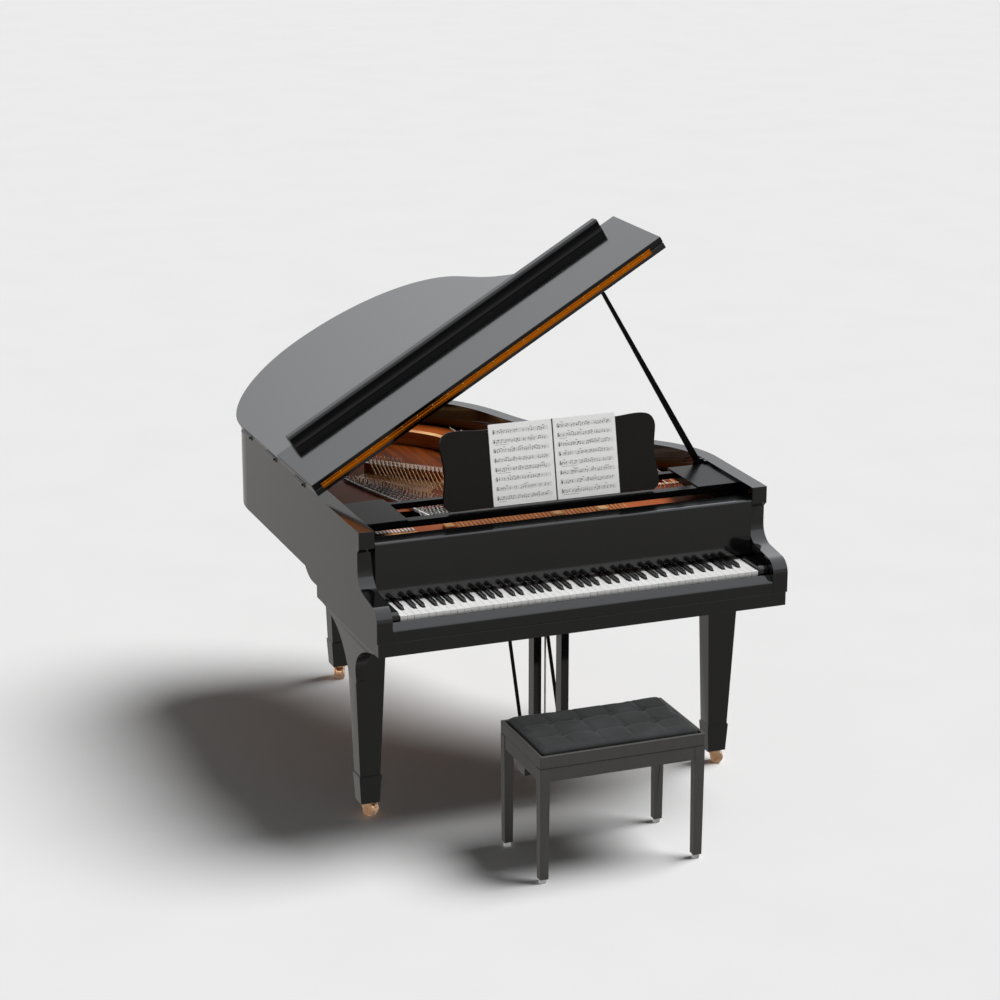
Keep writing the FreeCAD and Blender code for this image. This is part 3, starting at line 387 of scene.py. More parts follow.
def clean_copy(node):
    """A node's solid as a welded bmesh without the flat faces' inner edges."""
    made = bmesh.new()
    made.from_mesh(frame["nodes"][node].data)
    bmesh.ops.remove_doubles(made, verts=made.verts, dist=0.02 * MM)
    bmesh.ops.dissolve_limit(made, angle_limit=math.radians(0.4), verts=made.verts, edges=made.edges)
    return made


def to_mesh(name, made):
    mesh = bpy.data.meshes.new(name)
    made.normal_update()
    made.to_mesh(mesh)
    made.free()
    return mesh


def refined(node, look, slot, bevel, segments):
    """A rounded copy of a node that stands for it."""
    body = frame["nodes"][node]["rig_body"]
    name = f"{node}_finished"
    piece(name, to_mesh(name, clean_copy(node)), body, look, slot, (node,), bevel, segments)


def add_box(made, low, high):
    """A box between two full-size corners."""
    low, high = Vector(low), Vector(high)
    centre, size = (low + high) / 2, high - low
    matrix = Matrix.Translation(P(*centre)) @ Matrix.Diagonal((*(size * MM), 1))
    bmesh.ops.create_cube(made, size=1, matrix=matrix)


def add_rod(made, start, end, radius, end_radius=None, sides=12):
    """A round rod between two full-size places, tapered if its ends differ."""
    a, b = P(*start), P(*end)
    along = b - a
    turn = along.to_track_quat("Z", "Y").to_matrix().to_4x4()
    matrix = Matrix.Translation((a + b) / 2) @ turn
    last = radius if end_radius is None else end_radius
    bmesh.ops.create_cone(
        made, cap_ends=True, segments=sides, radius1=radius * MM, radius2=last * MM,
        depth=along.length, matrix=matrix,
    )


def add_prism(made, outline, low, high, place=P):
    """A closed (a, b) outline swept from low to high; place(a, b, c) gives the frame's metres."""
    rings = [[made.verts.new(place(a, b, c)) for a, b in outline] for c in (low, high)]
    made.faces.new(rings[0][::-1])
    made.faces.new(rings[1])
    for i in range(len(outline)):
        j = (i + 1) % len(outline)
        made.faces.new((rings[0][i], rings[0][j], rings[1][j], rings[1][i]))


def built(name, make, body, look, slot=None, **options):
    """A piece from a function that fills a bmesh."""
    made = bmesh.new()
    make(made)
    bmesh.ops.recalc_face_normals(made, faces=made.faces)
    piece(name, to_mesh(name, made), body, look, slot, **options)


def islands(node):
    """The full-size boxes of a node's separate solids."""
    made = clean_copy(node)
    left = set(made.verts)
    boxes = []
    while left:
        stack, group = [left.pop()], []
        while stack:
            vert = stack.pop()
            group.append(vert.co.copy())
            for edge in vert.link_edges:
                other = edge.other_vert(vert)
                if other in left:
                    left.remove(other)
                    stack.append(other)
        low = [min(c[i] for c in group) for i in range(3)]
        high = [max(c[i] for c in group) for i in range(3)]
        origin = P(0, 0, 0)
        boxes.append([[(c[i] - origin[i]) / MM for i in range(3)] for c in (low, high)])
    made.free()
    return sorted(boxes)


# ---------------------------------------------------------------- case, lid and legs

# node: look, slot, rounding in full-size millimetres, rounding steps
FINISHES = {
    "rim": ("black", "black_lacquer", 1.8, 3),
    "inner_rim": ("mahogany", "mahogany", 0.8, 1),
    "soundboard": ("soundboard", "spruce", 0.5, 1),
    "back_braces": ("beech", "beech", 2.0, 1),
    "pinblock": ("beech", "beech", 1.0, 1),
    "plate": ("bronze", "plate_bronze", 2.5, 2),
    "treble_bridge": ("beech", "beech", 1.5, 2),
    "bass_bridge": ("bridge", "beech", 2.0, 2),
    "keybed": ("black", "black_lacquer", 1.5, 2),
    "key_frame": ("beech", "beech", 1.0, 1),
    "key_slip": ("black", "black_lacquer", 2.2, 3),
    "key_blocks": ("black", "black_lacquer", 3.0, 3),
    "stretcher": ("shelf", "black_lacquer", 2.5, 3),
    "music_shelf": ("shelf", "black_lacquer", 2.5, 3),
    "rim_butts": ("black", "black_lacquer", 0.5, 2),
    "prop_bracket": ("black", "brass", 0.6, 2),
    "leg_right": ("black", "black_lacquer", 2.4, 3),
    "leg_left": ("black", "black_lacquer", 2.4, 3),
    "leg_rear": ("black", "black_lacquer", 2.4, 3),
    "lyre": ("black", "black_lacquer", 1.6, 2),
    "lyre_braces": ("shelf", "black_lacquer", 0.0, 1),
    "main_lid": ("black", "black_lacquer", 2.2, 3),
    "front_lid": ("flap", "black_lacquer", 2.2, 3),
    "lid_batten": ("flap", "black_lacquer", 2.0, 3),
    "lid_leaf": ("hinge", "brass", 0.5, 2),
    "flap_leaf": ("hinge", "brass", 0.5, 2),
    "prop_stick": ("shelf", "black_lacquer", 1.2, 2),
    "music_desk": ("satin", "black_lacquer", 2.4, 3),
    "fallboard": ("black", "black_lacquer", 1.5, 3),
    "pedal_left": ("pedal", "pedal_brass", 2.4, 3),
    "pedal_middle": ("pedal", "pedal_brass", 2.4, 3),
    "pedal_right": ("pedal", "pedal_brass", 2.4, 3),
    "stool_frame": ("charcoal", "stool_lacquer", 1.2, 2),
    "seat_frame": ("charcoal", "stool_lacquer", 2.2, 3),
    "stool_glides": ("chrome", "glide_steel", 1.2, 2),
}
for node, (look, slot, rounding, steps) in FINISHES.items():
    refined(node, look, slot, rounding, steps)

for corner in ("left", "right", "rear"):
    refined(f"caster_fork_{corner}", "caster", "caster_brass", 0.9, 2)
    refined(f"caster_wheel_{corner}", "caster", "caster_brass", 4.0, 4)


# ---------------------------------------------------------------- keyboard


def sharp_cap(made, low, high):
    """A sharp: sides that draw in towards a narrower top, with a sloping nose."""
    (x0, y0, z0), (x1, y1, z1) = low, high
    cap_rear = y0 + 92
    stick_top = z1 - 11
    # station: y, top height, half width at the foot and at the top
    half = (x1 - x0) / 2
    centre = (x0 + x1) / 2
    stations = [
        (y0, stick_top - 2, half, half - 0.6),
        (y0 + 2, stick_top + 3.5, half, half - 0.9),
        (y0 + 8, z1 - 0.6, half, half - 1.5),
        (y0 + 12, z1, half, half - 1.6),
        (cap_rear, z1, half, half - 1.6),
        (cap_rear + 1, stick_top, half, half - 0.4),
        (y1, stick_top, half, half - 0.4),
    ]
    rings = []
    for y, top, foot, crown in stations:
        corners = ((-foot, z0), (foot, z0), (crown, top), (-crown, top))
        rings.append([made.verts.new(P(centre + dx, y, z)) for dx, z in corners])
    for a, b in zip(rings, rings[1:]):
        for i in range(4):
            j = (i + 1) % 4
            made.faces.new((a[i], a[j], b[j], b[i]))
    made.faces.new(rings[0][::-1])
    made.faces.new(rings[-1])


def make_keys():
    """Each note's naturals or sharps, finished as one piece on that note's body."""
    for node in sorted(n for n in frame["nodes"] if n.startswith("keys_")):
        if node.endswith("_sharp"):
            boxes = islands(node)

            def caps(made, boxes=boxes):
                for low, high in boxes:
                    sharp_cap(made, low, high)

            built(
                f"{node}_finished", caps, node, "ebony", "ebony_black",
                replaces=(node,), bevel=1.0, segments=3, angle=20,
            )
        else:
            refined(node, "ivory", "ivory_white", 0.9, 3)


make_keys()


# ---------------------------------------------------------------- continuous hinge on the lid

HINGE_ANGLE = math.radians(30.8)
HINGE_AT = (-702.7, 0, 1033)
FLAP_AXIS = (554.6, 22)


def on_lid(along, across, height):
    """A place on the lid: along its slope, across it to the tail, and above its underside."""
    x = HINGE_AT[0] + along * math.cos(HINGE_ANGLE) - height * math.sin(HINGE_ANGLE)
    z = HINGE_AT[2] + along * math.sin(HINGE_ANGLE) + height * math.cos(HINGE_ANGLE)
    return (x, across, z)


def make_hinge():
    """Knuckles that alternate between the lid and its flap, and a row of screws in both leaves."""
    start, end, pitch, gap = 28, 1354, 40, 0.8
    count = int((end - start) / pitch)
    for body, first in (("lid", 0), ("front_flap", 1)):

        def knuckles(made, first=first):
            for n in range(first, count, 2):
                a = start + n * pitch + gap / 2
                b = a + pitch - gap
                add_rod(made, on_lid(a, *FLAP_AXIS), on_lid(b, *FLAP_AXIS), 1.3, sides=14)

        built(f"hinge_knuckles_{body}", knuckles, body, "hinge", "brass", bevel=0.2)

    face = full_box("lid_leaf")[0][1]
    screw_count, first_screw, screw_pitch = 22, 43.5, 61
    for body, height in (("lid", 16.5), ("front_flap", 27.5)):

        def screws(made, height=height):
            for n in range(screw_count):
                along = first_screw + screw_pitch * n
                head = on_lid(along, face - 0.9, height)
                foot = on_lid(along, face + 0.3, height)
                add_rod(made, foot, head, 2.3, 1.4, sides=14)

        built(f"hinge_screws_{body}", screws, body, "pedal", "brass", bevel=0.2)


make_hinge()


# ---------------------------------------------------------------- music desk's sheets

DESK_LEAN = math.radians(12)
sheet_low = full_box("sheet_music")[0]


def on_sheet(across, up, out):
    """A place on the sheets' face: across in X, up the lean, and out towards the player."""
    foot_z = sheet_low[2] + 2.5 * math.sin(DESK_LEAN)
    y = sheet_low[1] + up * math.sin(DESK_LEAN) - out * math.cos(DESK_LEAN)
    z = foot_z + up * math.cos(DESK_LEAN) + out * math.sin(DESK_LEAN)
    return P(across, y, z)


def make_sheets():
    """Two sheets with eight staves each and generic notes, printed as thin raised ink."""
    refined("sheet_music", "paper", "paper", 0.4, 1)
    draw = random.Random(88)
    pages = islands("sheet_music")

    def strip(made, x0, x1, up0, up1):
        add_prism(made, [(x0, up0), (x1, up0), (x1, up1), (x0, up1)], 0.02, 0.12, on_sheet)

    def notes(made, low, high, up, gap):
        x = low + 12
        while x < high - 8:
            kind = draw.random()
            step = draw.randint(0, 6)
            at = up + step * gap / 2
            if kind < 0.8:
                oval = [
                    (x + 1.9 * math.cos(t * math.pi / 4), at + 1.5 * math.sin(t * math.pi / 4))
                    for t in range(8)
                ]
                add_prism(made, oval, 0.02, 0.14, on_sheet)
                side = 1.6 if step < 4 else -1.6
                rise = 9 if step < 4 else -9
                low_end, high_end = sorted((at, at + rise))
                strip(made, x + side - 0.3, x + side + 0.3, low_end, high_end)
            if kind < 0.3 and x + 9 < high - 8:
                strip(made, x + 1.6, x + 8.6, at + 8, at + 9.4)
            if kind > 0.93:
                strip(made, x - 0.3, x + 0.3, up, up + 4 * gap)
            x += draw.uniform(5.2, 8.5)

    def print_page(made, low, high):
        gap = 2.6
        for n in range(8):
            up = 20 + n * 30.2
            for line in range(5):
                strip(made, low, high, up + line * gap - 0.16, up + line * gap + 0.16)
            strip(made, low, low + 0.8, up, up + 4 * gap)
            strip(made, low + 3, low + 5, up - 2, up + 5 * gap)
            strip(made, low + 5, low + 7.2, up + 1, up + 2.4 * gap)
            notes(made, low, high, up, gap)
            if n % 3 == 0:
                strip(made, low + 6, low + draw.uniform(30, 70), up - 6.5, up - 5.7)

    for number, (low, high) in enumerate(pages, start=1):
        built(
            f"printed_music_{number}",
            lambda made, low=low, high=high: print_page(made, low[0] + 13, high[0] - 13),
            "desk", "ink", "paper",
        )


make_sheets()


# ---------------------------------------------------------------- inside the case


def between(a, b, share):
    """The place at a share of the way from a to b."""
    return tuple(p + share * (q - p) for p, q in zip(a, b))


PLATE_TOP = 937
PIN_LEAN = Vector((0.12, -0.2, 1))
# The pin field at the bass side lies between the plate's raised edge and the agraffe line.
EDGE_LINE = [(-470, 1005), (-437, 864), (-387, 693), (-345, 500)]
AGRAFFE_LINE = [(-444, 985), (-366, 885), (-317, 775), (-246, 660), (-196, 596)]
# Shares of the way across the pin field at its first row, and from there to its last.
FIRST_ROW, ROWS_SPAN, ROWS = 0.1, 0.72, 5
# The bass strings' places over their bridge, from the lowest to the highest.
BRIDGE_ENDS = ((-350, 1106), (-140, 901))


def add_pin(made, x, y, height, radius):
    """A tuning pin in the plate: a shank and a squared, slightly narrower head."""
    foot = Vector((x, y, PLATE_TOP))
    top = foot + PIN_LEAN * height
    neck = foot.lerp(top, 0.55)
    add_rod(made, foot - Vector((0, 0, 3)), neck, radius, sides=10)
    add_rod(made, neck, top, radius * 0.92, radius * 0.7, sides=4)


def along_path(points, share):
    """The place at a share of a polyline's length."""
    lengths = [math.dist(a, b) for a, b in zip(points, points[1:])]
    left = share * sum(lengths)
    for (a, b), length in zip(zip(points, points[1:]), lengths):
        if left <= length:
            return between(a, b, left / length)
        left -= length
    return points[-1]


def in_pin_field(along, row):
    """A place in the pin field: a share of its length, at a row that may lie between two rows."""
    a, b = along_path(EDGE_LINE, along), along_path(AGRAFFE_LINE, along)
    return between(a, b, FIRST_ROW + ROWS_SPAN * row / (ROWS - 1))


def make_bass_plate():
    """The plate's panel with its raised edge, the bed under the strings and the wing. The edge is
    beech finished in key white, a painted highlight that keeps it bright in the shade under the lid.
    """

    def slab(name, outline, top, look, slot, bevel):
        built(
            name, lambda made: add_prism(made, outline, PLATE_TOP - 12, top),
            "case", look, slot, bevel=bevel,
        )

    panel = [(-568, 470), (-568, 1010), (-466, 1010), *AGRAFFE_LINE, (-196, 470)]
    bed = [*AGRAFFE_LINE[:4], (-240, 787), (-150, 885), (-355, 1095), (-444, 1010)]
    wing = [(-246, 664), (-190, 596), (-110, 596), (-110, 880), (-148, 880), (-238, 783)]
    slab("plate_panel", panel, PLATE_TOP, "bronze", "plate_bronze", 1.5)
    slab("string_bed", bed, PLATE_TOP - 1, "beech", "beech", 1.0)
    slab("plate_wing", wing, PLATE_TOP - 1, "bronze", "plate_bronze", 1.0)
    half_width = 4

    def edge(made):
        for (x0, y0), (x1, y1) in zip(EDGE_LINE, EDGE_LINE[1:]):
            left, right = [(x0 - half_width, y0), (x0 + half_width, y0)], [(x1 + half_width, y1)]
            add_prism(made, [*left, *right, (x1 - half_width, y1)], PLATE_TOP - 2, PLATE_TOP + 9)

    # The beech edge takes the key white: a painted highlight, paler than beech, so it stays bright in
    # shade.
    built("plate_edge", edge, "case", "ivory", "beech", bevel=1.2)


def make_bass_pins():
    """Rows of tuning pins with felt ribbons between them, and the agraffes behind."""
    pins_in_row, least_gap = 24, 9

    def pins(made):
        for row in range(ROWS):
            stagger = 0.5 * (row % 2)
            for n in range(pins_in_row):
                share = (n + stagger) / pins_in_row
                across = math.dist(along_path(EDGE_LINE, share), along_path(AGRAFFE_LINE, share))
                if across * ROWS_SPAN / (ROWS - 1) > least_gap or not stagger:
                    add_pin(made, *in_pin_field(share, row), 16, 3.0)

    built("bass_pins", pins, "case", "steel", "string_steel")
    steps, felt_start, half_width = 12, 0.2, 2.5

    def felts(made):
        for row in range(ROWS - 1):
            shares = [felt_start + (1 - felt_start) * n / steps for n in range(steps + 1)]
            places = [in_pin_field(share, row + 0.5) for share in shares]
            ribbon = [(x - half_width, y) for x, y in places]
            ribbon += [(x + half_width, y) for x, y in places[::-1]]
            add_prism(made, ribbon, PLATE_TOP - 1, PLATE_TOP + 3)

    built("pin_felts", felts, "case", "wine", "plate_bronze")
    count = 30

    def agraffes(made):
        for n in range(count):
            x, y = along_path(AGRAFFE_LINE, (n + 0.5) / count)
            add_rod(made, (x, y, PLATE_TOP - 2), (x, y, PLATE_TOP + 20), 3.0, 2.4)

    built("bass_agraffes", agraffes, "case", "caster", "brass", bevel=0.3)


make_bass_plate()
make_bass_pins()


def make_bass_strings():
    """Wound wires over the bass bridge, each with a bridge pin, and hitch pins at the bass end."""
    bridge_top = full_box("bass_bridge")[1][2]
    wire_z = bridge_top + 2.4
    count, hitch_pins, first_share = 20, 9, 0.2
    shares = [n / (count - 1) for n in range(count)]
    starts = [along_path(AGRAFFE_LINE, first_share + (1 - first_share) * t) for t in shares]
    crossings = [between(*BRIDGE_ENDS, t) for t in shares]

    def wires(made):
        for start, end in zip(starts, crossings):
            add_rod(made, (*start, wire_z), (*end, wire_z), 2.2, sides=8)

    built("bass_strings_wound", wires, "case", "copper", "string_copper", replaces=("bass_strings",))

    def tails(made):
        for start, end in zip(starts, crossings):
            x, y = between(start, end, 1.09)
            add_rod(made, (*end, wire_z), (x + 6, y + 14, bridge_top - 4), 0.8, sides=6)

    built("bass_string_tails", tails, "case", "steel", "string_steel")

    def pins(made):
        for n, (x, y) in enumerate(crossings):
            add_rod(made, (x + 3, y - 4, bridge_top - 3), (x + 4, y - 4, bridge_top + 5), 1.4, sides=8)
            if n < hitch_pins:
                foot, head = (x + 4, y + 16, bridge_top - 8), (x + 4, y + 18, bridge_top + 14)
                add_rod(made, foot, head, 2.6, sides=8)

    built("bass_bridge_pins", pins, "case", "steel", "string_steel")


make_bass_strings()


def make_front_pins():
    """Tuning pins in three rows, and the pressure bar behind them."""
    rows, pins_in_row, start_x, end_x = 3, 58, -150, 572

    def pins(made):
        for row in range(rows):
            for n in range(pins_in_row):
                x = start_x + (end_x - start_x) * n / (pins_in_row - 1) + 4 * (row % 2)
                add_pin(made, x, 470 + 22 * row - 0.02 * x, 24, 2.4)

    built("treble_pins", pins, "case", "steel", "string_steel")

    def bar(made):
        add_box(made, (-160, 540, PLATE_TOP - 2), (590, 552, PLATE_TOP + 14))

    built("pressure_bar", bar, "case", "caster", "brass", bevel=2.0, segments=3)


make_front_pins()


def make_treble_strings():
    """The CAD's own wires, smooth and in steel."""
    made = bmesh.new()
    made.from_mesh(frame["nodes"]["plain_strings"].data)
    bmesh.ops.remove_doubles(made, verts=made.verts, dist=0.02 * MM)
    mesh = to_mesh("plain_strings_finished", made)
    piece("plain_strings_finished", mesh, "case", "steel", "string_steel", ("plain_strings",))


make_treble_strings()


def make_shelf_gap():
    """What shows between and under the shelf's rails: crossed wires, clips, rests and blocks."""

    def crossed(made):
        start, pitch, near, far = -372, 13, 500, 585
        for n in range(8):
            x = start + pitch * n
            add_rod(made, (x, near, PLATE_TOP + 4), (x + pitch, far, PLATE_TOP + 10), 1.5, sides=6)
            add_rod(made, (x + pitch, near, PLATE_TOP + 8), (x, far, PLATE_TOP + 4), 1.5, sides=6)

    built("crossed_wires", crossed, "case", "steel", "string_steel")

    def clips(made):
        start, pitch, width = -568, 12, 6
        for n in range(11):
            x = start + pitch * n
            add_box(made, (x, 372, PLATE_TOP - 2), (x + width, 400, PLATE_TOP + 9))

    built("bass_clips", clips, "case", "steel", "string_steel", bevel=0.8)

    def rest(made):
        add_box(made, (-575, 338, PLATE_TOP - 4), (-436, 368, PLATE_TOP + 5))

    built("bass_rest", rest, "case", "beech", "beech", bevel=1.5)

    def wires(made):
        start, pitch, slant = -296, 14.2, 6
        for n in range(42):
            x = start + pitch * n
            add_rod(made, (x, 345, PLATE_TOP + 7), (x + slant, 462, PLATE_TOP + 12), 2.4, sides=6)

    built("shelf_gap_wires", wires, "case", "copper", "string_copper")

    def blocks(made):
        half_width = 16
        for x in (-326, 51, 208):
            low, high = (x - half_width, 356, PLATE_TOP), (x + half_width, 392, PLATE_TOP + 12)
            add_box(made, low, high)

    built("shelf_gap_blocks", blocks, "case", "beech", "beech", bevel=2.0)


make_shelf_gap()


# ---------------------------------------------------------------- lyre rods


def make_pedal_rods():
    """A bright rod from each pedal's tail up to the keybed, the outer two behind the posts."""
    back, foot, top = 354, 158, 669
    for side in ("left", "middle", "right"):
        low, high = full_box(f"pedal_{side}")
        x = 0.9 * (low[0] + high[0]) / 2

        def rod(made, x=x):
            add_rod(made, (x, back, foot), (x, back, top), 3.4)
            add_rod(made, (x, back, foot - 1), (x, back, foot + 8), 6.0)

        built(f"pedal_rod_{side}", rod, "case", "chrome", "string_steel", bevel=0.4)


make_pedal_rods()


# ---------------------------------------------------------------- cushion


SEAT_LOW, SEAT_HIGH = full_box("cushion")
SEAT_CENTRE = [(a + b) / 2 for a, b in zip(SEAT_LOW, SEAT_HIGH)]
HALF_X, HALF_Y = ((SEAT_HIGH[i] - SEAT_LOW[i]) / 2 for i in range(2))


def cushion_form():
    """The slack cover before it is filled: a rounded box, a little smaller than the solid.

    It is made about the origin in full-size metres, so that the cloth behaves at that size.
    """
    made = bmesh.new()
    slack = (5, 5, 10)
    size = [(b - a - gap) / 1000 for a, b, gap in zip(SEAT_LOW, SEAT_HIGH, slack)]
    bmesh.ops.create_cube(made, size=1, matrix=Matrix.Diagonal((*size, 1)))
    bmesh.ops.bevel(
        made, geom=made.edges[:], offset=0.010, segments=3, affect="EDGES", profile=0.5,
    )
    return made


def fill_cushion(thing):
    """Swell the cover as cloth under pressure, hold each point near where it began, and apply it."""
    remesh = thing.modifiers.new("remesh", "REMESH")
    remesh.mode = "VOXEL"
    remesh.voxel_size = 0.0055
    depsgraph = bpy.context.evaluated_depsgraph_get()
    thing.data = bpy.data.meshes.new_from_object(thing.evaluated_get(depsgraph))
    thing.modifiers.clear()
    start = [v.co.copy() for v in thing.data.vertices]
    cloth = thing.modifiers.new("cloth", "CLOTH")
    cloth.settings.use_pressure = True
    cloth.settings.uniform_pressure_force = 4
    cloth.settings.effector_weights.gravity = 0
    scene = bpy.context.scene
    for number in range(1, 21):
        scene.frame_set(number)
    depsgraph = bpy.context.evaluated_depsgraph_get()
    filled = bpy.data.meshes.new_from_object(thing.evaluated_get(depsgraph))
    thing.modifiers.clear()
    cap = 0.008
    for vert, begun in zip(filled.vertices, start):
        moved = vert.co - begun
        if moved.length > cap:
            vert.co = begun + moved.normalized() * cap
    thing.data = filled
    scene.frame_set(1)


def tuft_places():
    """The columns, rows and buttons of the tufting, about the cushion's centre."""
    columns = [HALF_X * (-1 + 2 * (n + 1) / 5) for n in range(4)]
    rows = [HALF_Y * (-1 + 2 * (n + 1) / 3) for n in range(2)]
    sway = random.Random(12)
    tufts = [(x + sway.uniform(-4, 4), y + sway.uniform(-3, 3)) for x in columns for y in rows]
    return columns, rows, tufts


def tuft(mesh):
    """Stretch a filled cover to the solid's edges, crown it and draw it in at the tufts."""
    columns, rows, tufts = tuft_places()
    crease_depth, crease_width = 1.6, 6

    def hollow(away, width):
        return math.exp(-((away / width) ** 2))

    def pull(x, y):
        """How far the cover is drawn down at a place on top."""
        depth = 0.0
        for tx, ty in tufts:
            away = math.hypot(x - tx, y - ty)
            depth += 6.0 * hollow(away, 15) + 2.0 * hollow(away, 50)
        for tx in columns:
            wave = tx + 3.5 * math.sin(y / 29 + tx)
            depth += crease_depth * hollow(x - wave, crease_width)
        for ty in rows:
            wave = ty + 3.0 * math.sin(x / 31 + ty)
            depth += crease_depth * hollow(y - wave, crease_width)
        return depth

    bottom, top = SEAT_LOW[2] - SEAT_CENTRE[2], SEAT_HIGH[2] - SEAT_CENTRE[2]
    margin, flat_sides, blend, crown_height = 1.5, 18, 18, 3.0
    reach_x = (HALF_X - margin) / max(abs(v.co.x) * 1000 for v in mesh.vertices)
    reach_y = (HALF_Y - margin) / max(abs(v.co.y) * 1000 for v in mesh.vertices)
    for vert in mesh.vertices:
        x, y, z = (c * 1000 for c in vert.co)
        x, y = x * reach_x, y * reach_y
        upper = max(0.0, min(1.0, (z - bottom - flat_sides) / blend))
        edge = max(min(HALF_X - abs(x), HALF_Y - abs(y)), 0)
        crown = crown_height * (1 - math.exp(-edge / 40))
        inner = 1 - hollow(edge, 22)
        z = min(z, top + 1) + upper * (crown - pull(x, y) * inner)
        z = max(z, bottom)
        vert.co = P(SEAT_CENTRE[0] + x, SEAT_CENTRE[1] + y, SEAT_CENTRE[2] + z)


def make_cushion():
    """A button-tufted pad: filled by cloth simulation, then pulled in at the tufts and seams."""
    thing = bpy.data.objects.new("cushion_leather", to_mesh("cushion_leather", cushion_form()))
    bpy.context.scene.collection.objects.link(thing)
    fill_cushion(thing)
    subdivide = thing.modifiers.new("subdivide", "SUBSURF")
    subdivide.levels = 1
    depsgraph = bpy.context.evaluated_depsgraph_get()
    mesh = bpy.data.meshes.new_from_object(thing.evaluated_get(depsgraph))
    bpy.data.objects.remove(thing)
    tuft(mesh)
    thing = piece("cushion_leather", mesh, "seat", "leather", "seat_leather", ("cushion",), angle=60)


def make_piping():
    """The round leather edging along the seam in the cushion's sides."""
    inset, radius, z, corner = 4.5, 2.6, SEAT_LOW[2] + 26, 9
    steps, sides = 6, 8
    reach_x, reach_y = HALF_X - inset - corner, HALF_Y - inset - corner
    loop = []
    for quarter, (side_x, side_y) in enumerate(((1, 1), (-1, 1), (-1, -1), (1, -1))):
        for n in range(steps + 1):
            t = (quarter + n / steps) * math.pi / 2
            x = SEAT_CENTRE[0] + side_x * reach_x + corner * math.cos(t)
            y = SEAT_CENTRE[1] + side_y * reach_y + corner * math.sin(t)
            loop.append((x, y))

    def piping(made):
        rings = []
        for n, (x, y) in enumerate(loop):
            before, after = Vector(loop[n - 1]), Vector(loop[(n + 1) % len(loop)])
            run = (after - before).normalized()
            ring = []
            for k in range(sides):
                t = 2 * math.pi * k / sides
                out, up = radius * math.cos(t), radius * math.sin(t)
                ring.append(made.verts.new(P(x + run.y * out, y - run.x * out, z + up)))
            rings.append(ring)
        for a, b in zip(rings, rings[1:] + rings[:1]):
            for i in range(sides):
                j = (i + 1) % sides
                made.faces.new((a[i], a[j], b[j], b[i]))

    built("cushion_piping", piping, "seat", "leather", "seat_leather", angle=60)


def make_buttons():
    """A covered button in each tuft."""

    def buttons(made):
        for x, y in tuft_places()[2]:
            x, y, z = x + SEAT_CENTRE[0], y + SEAT_CENTRE[1], SEAT_HIGH[2] - 12
            add_rod(made, (x, y, z - 3), (x, y, z), 4.5, 3.0, sides=16)

    built("cushion_buttons", buttons, "seat", "leather", "seat_leather", bevel=0.8)


make_cushion()
make_piping()
make_buttons()


# ---------------------------------------------------------------- stage, light and camera


def make_stage():
    """A wide plain floor."""
    made = Material("studio_floor", "#e8e8e8", 1.0, Specular_IOR_Level=0.0)
    speck = made.noise(2.0, 3.0)
    made.colour(speck, (0.3, "#e7e7e7"), (0.7, "#e9e9e9"))
    mesh = bpy.data.meshes.new("floor")
    reach = 6.0
    corners = [(-reach, -reach, 0), (reach, -reach, 0), (reach, reach, 0), (-reach, reach, 0)]
    mesh.from_pydata(corners, [], [(0, 1, 2, 3)])
    mesh.materials.append(made.block)
    floor = bpy.data.objects.new("floor", mesh)
    bpy.context.scene.collection.objects.link(floor)
    floor.visible_glossy = False


def make_key():
    """One broad lamp high on the treble side, which polished faces don't mirror."""
    key = bpy.data.lights.new("key", "SUN")
    key.energy = 3.44
    key.angle = math.radians(36)
    lamp = bpy.data.objects.new("key", key)
    toward = Vector((0.52, -0.07, 0.851))
    lamp.rotation_euler = toward.to_track_quat("Z", "Y").to_euler()
    lamp.visible_glossy = False
    bpy.context.scene.collection.objects.link(lamp)


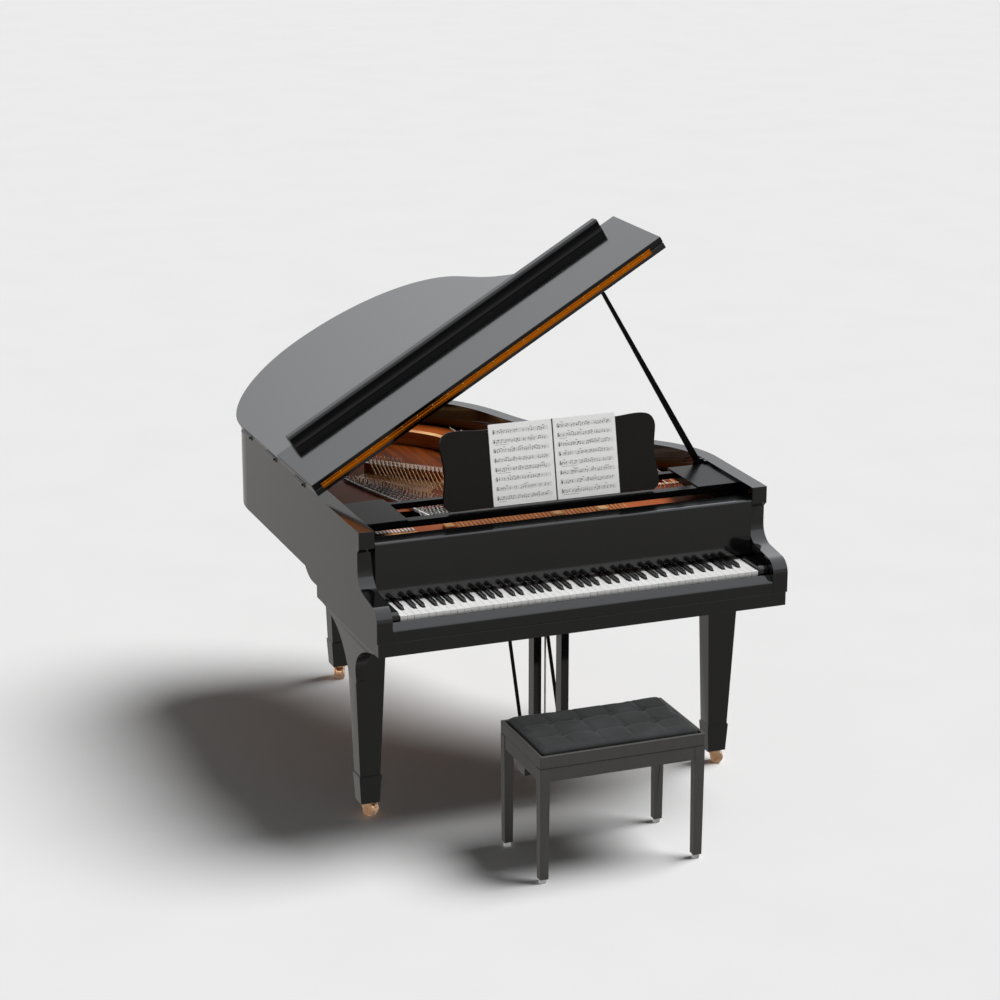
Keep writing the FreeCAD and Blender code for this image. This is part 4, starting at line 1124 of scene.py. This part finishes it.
def make_room():
    """A pale room in three parts: what the camera sees, what lights matt faces, and reflections."""
    world = bpy.data.worlds.new("studio")
    bpy.context.scene.world = world
    world.use_nodes = True
    tree = world.node_tree
    tree.nodes.clear()
    link = tree.links.new

    def add(kind, **values):
        node = tree.nodes.new(kind)
        for socket, value in values.items():
            node.inputs[socket.replace("_", " ")].default_value = value
        return node

    def either(ray, without, with_ray):
        """One shader for rays of a kind, and another for the rest."""
        mix = add("ShaderNodeMixShader")
        link(rays.outputs[ray], mix.inputs[0])
        link(without.outputs[0], mix.inputs[1])
        link(with_ray.outputs[0], mix.inputs[2])
        return mix

    # What polished faces reflect: brighter with height and from behind the piano.
    direction = add("ShaderNodeTexCoord")
    split = add("ShaderNodeSeparateXYZ")
    link(direction.outputs["Generated"], split.inputs[0])
    height = add("ShaderNodeMapRange", From_Min=-1, To_Max=1)
    link(split.outputs["Z"], height.inputs["Value"])
    glow = add("ShaderNodeValToRGB")
    warm, cool, cool_from = (1, 0.97, 0.93), (1, 1.02, 1.05), 0.6
    stops = ((0.0, 0.12), (0.35, 0.22), (0.5, 0.36), (0.65, 0.4), (0.72, 0.88), (1.0, 0.9))
    while len(glow.color_ramp.elements) < len(stops):
        glow.color_ramp.elements.new(0.5)
    for element, (position, level) in zip(glow.color_ramp.elements, stops):
        element.position = position
        tint = cool if position > cool_from else warm
        element.color = (*(level * t for t in tint), 1)
    link(height.outputs["Result"], glow.inputs["Fac"])
    depth = add("ShaderNodeMapRange", From_Min=-1, From_Max=0.6, To_Min=1.6, To_Max=2.0)
    link(split.outputs["Y"], depth.inputs["Value"])
    reflected = add("ShaderNodeBackground")
    link(glow.outputs["Color"], reflected.inputs["Color"])
    link(depth.outputs["Result"], reflected.inputs["Strength"])

    fill = add("ShaderNodeBackground", Color=(1, 1, 1, 1), Strength=0.1)
    seen = add("ShaderNodeBackground", Color=linear("#ececec"))
    rays = add("ShaderNodeLightPath")
    room = either("Is Camera Ray", either("Is Glossy Ray", fill, reflected), seen)
    link(room.outputs[0], add("ShaderNodeOutputWorld").inputs["Surface"])
    bpy.context.scene.view_settings.view_transform = "Standard"


def make_camera():
    """The photograph's viewpoint: a long lens from the player's left, above the lid's hinge."""
    lens = bpy.data.cameras.new("camera")
    lens.lens = 97.6
    lens.sensor_width = 36
    lens.clip_start = 0.01
    camera = bpy.data.objects.new("camera", lens)
    camera.location = P(-3170.4, -7396.3, 3543.8)
    toward = P(-117.9, 459.6, 984.5) - camera.location
    camera.rotation_euler = toward.to_track_quat("-Z", "Y").to_euler()
    bpy.context.scene.collection.objects.link(camera)
    bpy.context.scene.camera = camera


make_stage()
make_key()
make_room()
make_camera()
